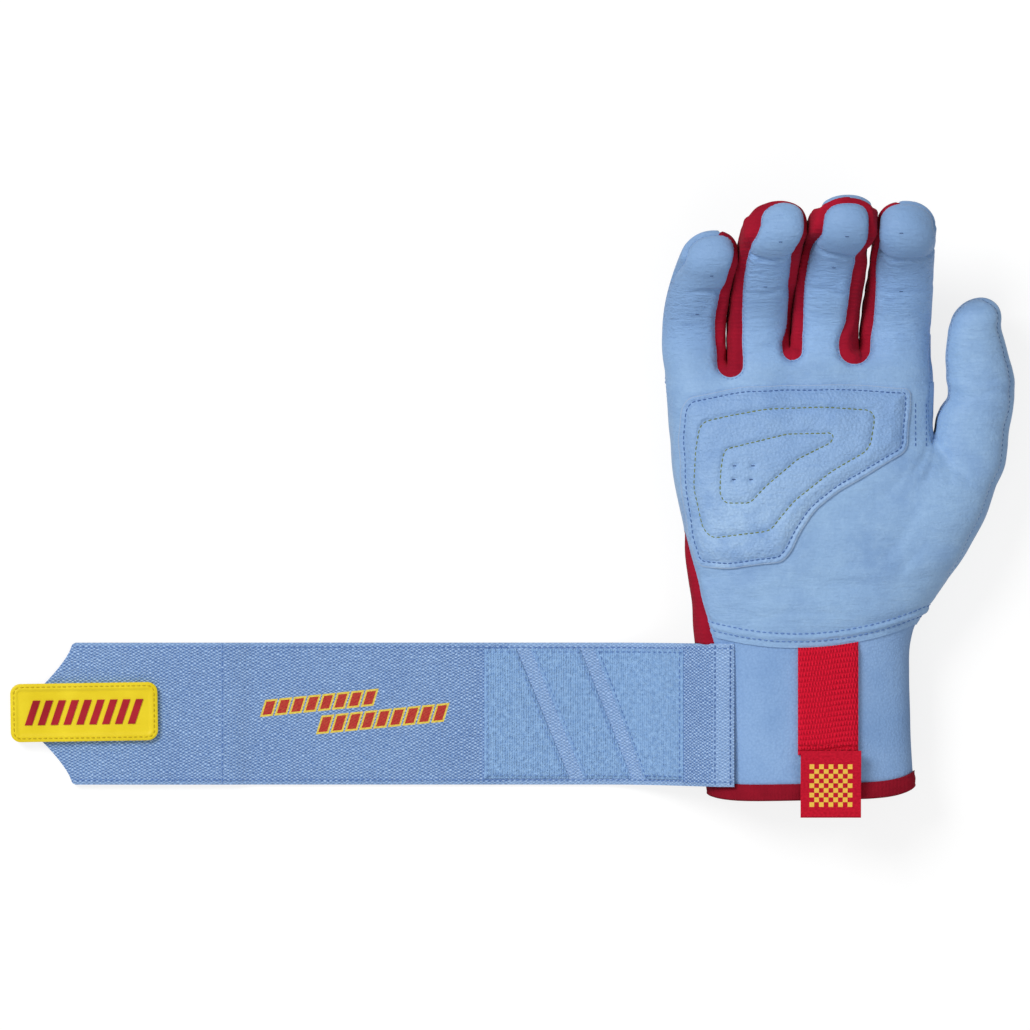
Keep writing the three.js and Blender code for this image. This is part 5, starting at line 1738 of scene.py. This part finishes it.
def elastic_finish(name, printed, paler_end_and_loops):
    """Woven elastic: raised picks in rows across the strap, paler at its doubled end and along the loop
    patches; it may carry bars.
    """
    cloth = Finish(name, uv=True)
    weave = woven(cloth, cloth.place, WEAVE_PERIOD, 0.0015)
    cell = cloth.cells(1250.0)
    along, across = cloth.axes()
    cloth.tone = cloth.ramp(cloth.noise(45.0, 4.0), srgb(116, 150, 200), srgb(126, 160, 208), 0.35, 0.65)
    cloth.lay(srgb(186, 214, 248), cloth.mask(weave, 0.55, 0.95), 0.95)
    cloth.lay(srgb(62, 92, 150), cloth.mask(weave, 0.42, 0.05), 0.85)
    cloth.lay(srgb(84, 116, 172), cloth.mask(cell, 0.35, 0.8), 0.3)
    selvedge = cloth.calc("GREATER_THAN", cloth.calc("ABSOLUTE", across), SELVEDGE)
    cloth.lay(srgb(146, 178, 218), selvedge, 0.45)
    if paler_end_and_loops:
        # paler at the doubled end and along the stretch under the loop patches
        doubled = cloth.calc("LESS_THAN", along, DOUBLED_END)
        between = cloth.calc("COMPARE", along, sum(LOOP_ZONE) / 2, (LOOP_ZONE[1] - LOOP_ZONE[0]) / 2)
        cloth.lay(srgb(164, 197, 238), cloth.calc("MAXIMUM", doubled, between), 0.32)
    for colour, grow in PRINT_INKS if printed else ():
        for start, middle, length, height, slope in PRINT_ROWS:
            run = cloth.calc("SUBTRACT", start, along)
            level = cloth.calc("SUBTRACT", across, cloth.calc("MULTIPLY_ADD", run, slope, middle))
            lean = cloth.calc("MULTIPLY_ADD", level, PRINT_LEAN, run)
            beat = cloth.calc("FRACT", cloth.calc("DIVIDE", cloth.calc("ADD", lean, grow), PRINT_PITCH))
            ink = cloth.calc("MULTIPLY_ADD", cell, -0.08, 1.0)
            for limit in (
                ("LESS_THAN", cloth.calc("ABSOLUTE", level), height / 2 + grow),
                ("LESS_THAN", beat, PRINT_BAR + 2 * grow / PRINT_PITCH),
                ("GREATER_THAN", lean, -grow),
                ("LESS_THAN", lean, length + grow),
            ):
                ink = cloth.calc("MULTIPLY", ink, cloth.calc(*limit))
            cloth.lay(colour, ink)
    cloth.emboss(weave, 0.00035, 0.7)
    cloth.emboss(cell, 0.0002, 0.4)
    return cloth.done(0.8, 0.25, 0.12)


elastic = elastic_finish("sky_blue_elastic", False, True)
printed_elastic = elastic_finish("sky_blue_elastic_printed", True, True)
elastic_back = elastic_finish("sky_blue_elastic_back", False, False)
PRINTED_FROM = 2
STRAP_STITCH = (2.0, 1.2, 0.36)
ANCHOR_STITCH = (2.0, 1.3, 0.4)
ANCHOR_ROWS = (1.3, 6.8)


def strap_ripple(place, across):
    """Slight waviness of elastic that has been worn."""
    flat = np.stack([place.ravel(), across.ravel(), 0 * place.ravel()], 1)
    return 0.08 * waves(flat, 34, 61, (1.0, 0.5, 1.0)).reshape(place.shape)


def strap_row(place, across, rise):
    """A row to sew along places on the strap."""
    points = strap_at(place, across, rise)
    return line_row(points, strap_at(place, across, rise + 1.0) - points)


strap_rows = [[] for _ in STRAP_FOLDS]
for index, (first, last) in enumerate(zip(STRAP_CUTS[:-1], STRAP_CUTS[1:])):
    piece = slab(
        "strap_elastic_%d" % (index + 1),
        steady(first),
        steady(last),
        strap_half,
        -STRAP_TOP,
        STRAP_TOP,
        [printed_elastic if index >= PRINTED_FROM else elastic, elastic_back],
        ripple=strap_ripple,
        ends=(index == 0, index == len(STRAP_FOLDS) - 1),
    )
    fasten(piece, "webbing", folds[index], *STRAP_NODES[index])
    place = np.arange(first + 1.2, min(last, place_of(STRAP_CORNER) - 1.0), 1.0)
    for side in (-1, 1):
        strap_rows[index].append(strap_row(place, side * (STRAP_HALF - 1.7), STRAP_TOP))
across = np.arange(-STRAP_HALF + 1.5, STRAP_HALF - 1.0, 1.0)
hook_line = np.full(len(across), place_of(HOOK_START + 1.6))
strap_rows[-1].append(strap_row(hook_line, across, STRAP_TOP))
anchor_rows = []
for place in ANCHOR_ROWS:
    points = strap_at(np.full(len(across), place), across, STRAP_TOP)
    anchor_rows.append(line_row(points, np.tile([0.0, 0.0, 1.0], (len(points), 1))))
sew("strap_anchor_stitches", anchor_rows, "blue", ANCHOR_STITCH, "webbing", folds[0])


# Loop patches
# Three pieces of soft loop pile sewn on the strap's outer face, with two slanted bands of bare elastic
# between them.
LOOP_FIRST = -43.6
LOOP_LAST = -115.2
LOOP_BANDS = (-68.9, -91.6)
LOOP_SLANT = 19.0
LOOP_BAND = 5.4
LOOP_THICK = 0.9
LOOP_TOP = STRAP_TOP + LOOP_THICK
LOOP_HALF = STRAP_HALF - 2.2
LOOP_WALE = 0.00085
LOOP_SEAM = 1.1
LOOP_BLUES = (srgb(90, 129, 186), srgb(156, 194, 236))

pile = Finish("sky_blue_loop_pile", uv=True)
wales = pile.bands(LOOP_WALE, "X", 1.5, 3.0, 3.0)
pile.tone = pile.ramp(pile.noise(620.0, 5.0, 0.75), *LOOP_BLUES, 0.32, 0.68)
pile.lay(LOOP_BLUES[1], wales, 0.5)
pile.emboss(wales, 0.0003, 0.6)
pile.emboss(pile.cells(1700.0), 0.0003, 0.8)
loop_pile = pile.done(0.9, 0.2, 0.05)


def band_edge(middle, way):
    """The slanted edge of a bare band: its place along the strap for an offset across it."""
    start = place_of(middle)
    return lambda across: start + way * LOOP_BAND / 2 + LOOP_SLANT * np.asarray(across) / LOOP_HALF / 2


LOOPS = (
    # piece, its start and end, the fold whose bodies carry it or none, CAD nodes
    ("loop_shoulder", steady(place_of(LOOP_FIRST)), steady(STRAP_CUTS[1]), 0, ("loop_patch_shoulder",)),
    (
        "loop_edge", steady(STRAP_CUTS[1]), band_edge(LOOP_BANDS[0], -1), 1,
        ("loop_patch_ulnar", "loop_patch_wedge"),
    ),
    ("loop_middle", band_edge(LOOP_BANDS[0], 1), band_edge(LOOP_BANDS[1], -1), None, ("loop_patch_mid",)),
    ("loop_far", band_edge(LOOP_BANDS[1], 1), steady(place_of(LOOP_LAST)), None, ("loop_patch_far",)),
)
rigid_rows = []
across = np.arange(-LOOP_HALF + 1.0, LOOP_HALF - 0.9, 1.0)
for name, start, end, index, nodes in LOOPS:
    free_ends = (name != "loop_edge", name != "loop_shoulder")
    piece = slab(
        name,
        start,
        end,
        steady(LOOP_HALF),
        STRAP_TOP - 0.2,
        LOOP_TOP,
        [loop_pile],
        step=1.0,
        soft=0.55,
        ends=free_ends,
    )
    fasten(piece, "loop", "strap_2" if index is None else folds[index], *nodes)
    rows = rigid_rows if index is None else strap_rows[index]
    if free_ends[0]:
        rows.append(strap_row(start(across) + LOOP_SEAM, across, LOOP_TOP))
    if free_ends[1]:
        rows.append(strap_row(end(across) - LOOP_SEAM, across, LOOP_TOP))
    for side in (-1, 1):
        level = side * (LOOP_HALF - LOOP_SEAM)
        place = np.arange(start(level) + LOOP_SEAM, end(level) - 1.0, 1.0)
        rows.append(strap_row(place, np.full(len(place), level), LOOP_TOP))
for index, rows in enumerate(strap_rows):
    sew("strap_stitches_%d" % (index + 1), rows, "strap", STRAP_STITCH, "webbing", folds[index])
sew("loop_patch_stitches", rigid_rows, "loop", STRAP_STITCH, "webbing", "strap_2")


# Hook tape
# Stiff moulded hook tape under the strap's end, in two pieces beside the last fold: a thin base with a field
# of hooks.
HOOK_HALF = 23.0
HOOK_LENGTH = 48.0
HOOK_BASE = 0.5
HOOK_PITCH = 1.5
HOOK_MARGIN = 1.2
HOOK_SIZES = {"Stem": 0.00014, "Height": 0.0007}
FOLD_CLEAR = 1.4


def hook_tree():
    """Geometry nodes: places in, a small hook hanging from each out."""
    tree, given = node_group("hook_field", Stem="Float", Height="Float", Finish="Material")
    spots = node(tree, "GeometryNodeMeshToPoints", {"Mesh": given["Geometry"]}).outputs[0]
    deep, bend, back = [sums(tree, "MULTIPLY", given["Height"], share) for share in (-1.9, 0.7, -0.55)]
    hook = arched(tree, ((0.0, 0.0), (0.0, deep), (bend, back)), 4, given["Stem"])
    return laid_out(tree, spots, hook, given["Finish"])


nylon = Finish("hook_nylon")
cloud = nylon.noise(300.0, 3.0)
nylon.tone = nylon.ramp(cloud, srgb(104, 138, 190), srgb(122, 156, 206))
nylon.emboss(cloud, 0.0002, 0.4)
hook_nylon = nylon.done(0.45)
hook_field = hook_tree()
hook_end = place_of(HOOK_START - HOOK_LENGTH)
for name, first, last, body in (
    ("hook_patch_inner", place_of(HOOK_START), STRAP_FOLDS[-1] - FOLD_CLEAR, "strap_5"),
    ("hook_patch_outer", STRAP_FOLDS[-1] + FOLD_CLEAR, hook_end, "strap_6"),
):
    base = slab(
        name + "_base",
        steady(first),
        steady(last),
        steady(HOOK_HALF),
        -STRAP_TOP - HOOK_BASE,
        -STRAP_TOP + 0.1,
        [hook_nylon],
        step=1.5,
        soft=0.1,
    )
    fasten(base, "hook", body, name)
    along, across = lattice(
        np.arange(first + HOOK_MARGIN, last - 1.0, HOOK_PITCH),
        np.arange(-HOOK_HALF + HOOK_MARGIN, HOOK_HALF - 1.0, HOOK_PITCH),
    ).T
    spots = strap_at(along, across, -STRAP_TOP - HOOK_BASE + 0.1)
    hooks = grown(name + "_hooks", in_frame(spots), hook_field, {**HOOK_SIZES, "Finish": hook_nylon})
    fasten(hooks, "hook", body)


# Pull badge
# A soft moulded rubber tag sewn over the strap's tongue, with a raised rim and a plain row of slanted red
# bars.
BADGE_SIZE = np.array([52.6, 20.8])
BADGE_CORNER = 3.6
BADGE_MIDDLE = np.array([-258.2, 31.6])
BADGE_BOTTOM = 3.05
BADGE_TOP = 5.6
BADGE_RIM = 2.3
BADGE_RECESS = 0.5
BADGE_SEAM = 1.25
BADGE_STITCH = (1.9, 1.3, 0.4)
BADGE_GRID = 0.5
BADGE_TILT = np.radians(0.9)
BADGE_BARS = {
    "Count": 9, "Pitch": 0.0046, "Width": 0.0026, "Height": 0.0088, "Thickness": 0.0005, "Lean": 0.35,
}
BAR_SUNK = 0.05


def rubber_finish(name, dark, light):
    """Moulded soft rubber."""
    rubber = Finish(name)
    cloud = rubber.noise(90.0, 4.0)
    rubber.tone = rubber.ramp(cloud, dark, light)
    rubber.emboss(rubber.noise(1500.0, 2.0), 0.00008, 0.5)
    return rubber.done(rubber.calc("MULTIPLY_ADD", cloud, 0.2, 0.35), 0.2)


yellow_rubber = rubber_finish("yellow_rubber", srgb(226, 200, 26), srgb(237, 213, 38))
red_rubber = rubber_finish("red_rubber", srgb(150, 18, 34), srgb(182, 30, 46))
tilt = np.array([[np.cos(BADGE_TILT), np.sin(BADGE_TILT)], [-np.sin(BADGE_TILT), np.cos(BADGE_TILT)]])
counts = (BADGE_SIZE / BADGE_GRID).astype(int) + 3
flat = lattice(*[(np.arange(count) - (count - 1) / 2) * BADGE_GRID for count in counts])
away = np.abs(flat) - (BADGE_SIZE / 2 - BADGE_CORNER)
badge_in = BADGE_CORNER - np.hypot(*np.maximum(away, 0).T) - np.minimum(away.max(1), 0)
top = BADGE_TOP - 0.55 * np.exp(-np.maximum(badge_in, 0) / 0.35)
top -= BADGE_RECESS * ease(badge_in, BADGE_RIM - 0.3, BADGE_RIM + 0.5)
top -= 0.25 * peak(badge_in, BADGE_SEAM, 0.45)
spot = flat @ tilt + BADGE_MIDDLE
badge_panel = panel_of(
    np.column_stack([spot, top]),
    as_triangles(grid_faces(counts)),
    under=np.column_stack([spot, np.full(len(spot), BADGE_BOTTOM)]),
    edge=badge_in,
)
badge_panel = part(badge_panel, badge_panel["edge"])
badge = shell("pull_badge_rubber", badge_panel, 0, yellow_rubber, yellow_rubber)
fasten(badge, "badge", "strap_6", "pull_badge")
rows = [seam_row(badge_panel, badge_panel["edge"], BADGE_SEAM)]
sew("badge_stitches", rows, "badge", BADGE_STITCH, "badge", "strap_6")


def bar_tree():
    """Geometry nodes: one point in, a row of slanted bars out."""
    sizes = {key: "Float" for key in BADGE_BARS}
    tree, given = node_group("bar_row", **{**sizes, "Count": "Int"}, Finish="Material")
    size = {axis: given[key] for axis, key in zip("XYZ", ("Width", "Height", "Thickness"))}
    block = {"Size": node(tree, "ShaderNodeCombineXYZ", size).outputs[0]}
    block.update({"Vertices X": 4, "Vertices Y": 8, "Vertices Z": 2})
    block = node(tree, "GeometryNodeMeshCube", block).outputs["Mesh"]
    position = node(tree, "GeometryNodeInputPosition").outputs[0]
    up = node(tree, "ShaderNodeSeparateXYZ", {"Vector": position}).outputs["Y"]
    lean = node(tree, "ShaderNodeCombineXYZ", {"X": sums(tree, "MULTIPLY", up, given["Lean"])}).outputs[0]
    leant = node(tree, "GeometryNodeSetPosition", {"Geometry": block, "Offset": lean}).outputs["Geometry"]
    step = node(tree, "ShaderNodeCombineXYZ", {"X": given["Pitch"]}).outputs[0]
    places = node(tree, "GeometryNodeMeshLine", {"Count": given["Count"], "Offset": step}).outputs["Mesh"]
    return laid_out(tree, places, leant, given["Finish"])


bars = grown("badge_bars", [(0.0, 0.0, 0.0)], bar_tree(), {**BADGE_BARS, "Finish": red_rubber})
corners = np.empty(len(bars.data.vertices) * 3, np.float32)
bars.data.vertices.foreach_get("co", corners)
corners = corners.reshape(-1, 3) * 1000
corners[:, 0] -= 0.5 * (BADGE_BARS["Count"] - 1) * BADGE_BARS["Pitch"] * 1000
spot = corners[:, :2] @ tilt + BADGE_MIDDLE
corners = in_frame(np.column_stack([spot, corners[:, 2] + BADGE_TOP - BADGE_RECESS + BAR_SUNK]))
bars.data.vertices.foreach_set("co", corners.astype(np.float32).ravel())
bars.data.polygons.foreach_set("use_smooth", np.zeros(len(bars.data.polygons), bool))
fasten(bars, "badge", "strap_6")


# Pull tab and woven label
# Ribbed red webbing, doubled, sewn flat on the cuff from the hide's edge, and a folded woven label that hangs
# from its end over the hem.
TAB_HALF = 10.7
TAB_LOW = 17.0
TAB_HIGH = 58.0
TAB_THICK = 2.2
TAB_RIB = 0.2
TAB_RIB_PITCH = 1.87
TAB_PICK_PITCH = 1.07
TAB_SLOPE = 0.1
TAB_ROWS = (1.9, 3.6)
TAB_STITCH = (2.2, 1.6, 0.45)
LABEL_TOP = 18.6
LABEL_END = -5.1
LABEL_FOLD = LABEL_END + 0.8
LABEL_UPPER = 33.2
LABEL_LEAF = 0.55
LABEL_SHIFT = 0.9
CHECKS = 9
CHECK_LOW = (0.0031, 0.0048)
CHECK_SIZE = 0.0152
WEFT = 0.0005

webbing = Finish("red_ribbed_webbing")
sloped = {"Vector": webbing.place, "Rotation": (0.0, 0.0, -TAB_SLOPE)}
sloped = node(webbing.tree, "ShaderNodeMapping", sloped).outputs[0]
picks = woven(webbing, sloped, (TAB_PICK_PITCH * 0.001, 2 * TAB_RIB_PITCH * 0.001), 0.0009)
fine = webbing.noise(1900.0, 2.0)
webbing.tone = webbing.ramp(picks, srgb(174, 9, 37), srgb(236, 27, 58), 0.1, 0.9)
webbing.lay(srgb(216, 21, 50), fine, 0.5)
webbing.emboss(picks, 0.0004, 0.9)
webbing.emboss(fine, 0.0001, 0.5)
tab_tape = webbing.done(0.85, 0.12)
tab_counts = (33, 120)
tab_axes = ((-TAB_HALF, TAB_HALF), (TAB_LOW, TAB_HIGH))
tab_x, tab_y = lattice(*[np.linspace(*ends, count) for ends, count in zip(tab_axes, tab_counts)]).T
border = np.minimum(TAB_HALF - np.abs(tab_x), tab_y - TAB_LOW)
tab_x = tab_x + TAB_MIDDLE
tab_ground = wrist_top(tab_x, tab_y) - CUFF_UNDER_HIDE
height = TAB_THICK - 0.5 * peak(border, 0, 0.7)
rise = tab_y - TAB_SLOPE * tab_x
height += TAB_RIB * np.sin(rise * 2 * np.pi / TAB_RIB_PITCH + 0.6 * np.sin(tab_x * 0.4))
height -= 0.9 * ease(tab_y, 53.0, 56.5)
height -= 0.15 * peak(tab_y - TAB_LOW, TAB_ROWS[0], 0.6)
tab_panel = panel_of(
    np.column_stack([tab_x, tab_y, tab_ground + height]),
    as_triangles(grid_faces(tab_counts)),
    under=np.column_stack([tab_x, tab_y, tab_ground + 0.02]),
    along=tab_y,
)
tab_panel = part(tab_panel, cuff_seam(tab_panel["at"][:, 0]) + 0.15 - tab_panel["along"])
tab_sewn = part(tab_panel, TAB_HALF - 0.9 - np.abs(tab_panel["at"][:, 0] - TAB_MIDDLE))
tab = shell("pull_tab_ribbed", tab_panel, 0, tab_tape, tab_tape)
fasten(tab, "tab", "hand", "pull_tab_webbing")
rows = [seam_row(tab_sewn, tab_sewn["along"], TAB_LOW + level) for level in TAB_ROWS]
sew("pull_tab_stitches", rows, "red", TAB_STITCH, "tab", "hand")

# The label is damask-woven: a red ground with a plain yellow check.
damask = Finish("woven_label", uv=True)
within, parity = 1.0, 0.0
for value, low in zip(damask.axes(), CHECK_LOW):
    value = damask.calc("SUBTRACT", value, low)
    within = damask.calc("MULTIPLY", within, damask.calc("GREATER_THAN", value, 0.0))
    within = damask.calc("MULTIPLY", within, damask.calc("LESS_THAN", value, CHECK_SIZE))
    square = damask.calc("FLOOR", damask.calc("MULTIPLY", value, CHECKS / CHECK_SIZE))
    parity = damask.calc("ADD", parity, square)
odd = damask.calc("LESS_THAN", damask.calc("PINGPONG", parity, 1.0), 0.5)
check = damask.calc("MULTIPLY", within, odd)
damask.tone = damask.ramp(damask.noise(1200.0, 3.0), srgb(184, 13, 40), srgb(214, 24, 52))
damask.lay(srgb(250, 206, 84), check, 0.95)
damask.emboss(damask.bands(WEFT, "Y", 0.6), 0.00016, 0.7)
damask.emboss(check, 0.00015, 0.4)
label_cloth = damask.done(0.8, 0.12)

upper = np.linspace(LABEL_TOP, LABEL_FOLD, 40)
level = LABEL_UPPER - LABEL_LEAF / 2 - 1.4 * ease(LABEL_TOP - upper, 2.0, 19.0)
angles = np.linspace(0, np.pi, 9)[1:-1]
label_line = np.concatenate([
    np.column_stack([upper, level]),
    np.column_stack([LABEL_FOLD - 0.62 * np.sin(angles), level[-1] - 0.4 * (1 - np.cos(angles))]),
    np.column_stack([upper[::-1], level[::-1] - 0.8]),
])
label_length = lengths_along(label_line)
way = np.gradient(label_line, axis=0)
way /= np.linalg.norm(way, axis=1)[:, None]
out = np.stack([way[:, 1], -way[:, 0]], 1)
across = np.linspace(-TAB_HALF, TAB_HALF, 30)


def label_face(side):
    """Points of one face of the label."""
    line = np.repeat(label_line + out * LABEL_LEAF * side, len(across), 0)
    return np.column_stack([np.tile(across + TAB_MIDDLE + LABEL_SHIFT, len(label_line)), line])


label_shape = (len(label_line), len(across))
label_faces = as_triangles(grid_faces(label_shape)[:, ::-1])
label_panel = panel_of(label_face(0.5), label_faces, under=label_face(-0.5))
label_uv = np.stack([np.tile(across + TAB_HALF, label_shape[0]), np.repeat(label_length, label_shape[1])], 1)
label = shell("pull_tab_woven_label", label_panel, 0, label_cloth, label_cloth, label_uv * 0.001)
fasten(label, "tab", "label", "pull_tab_label")
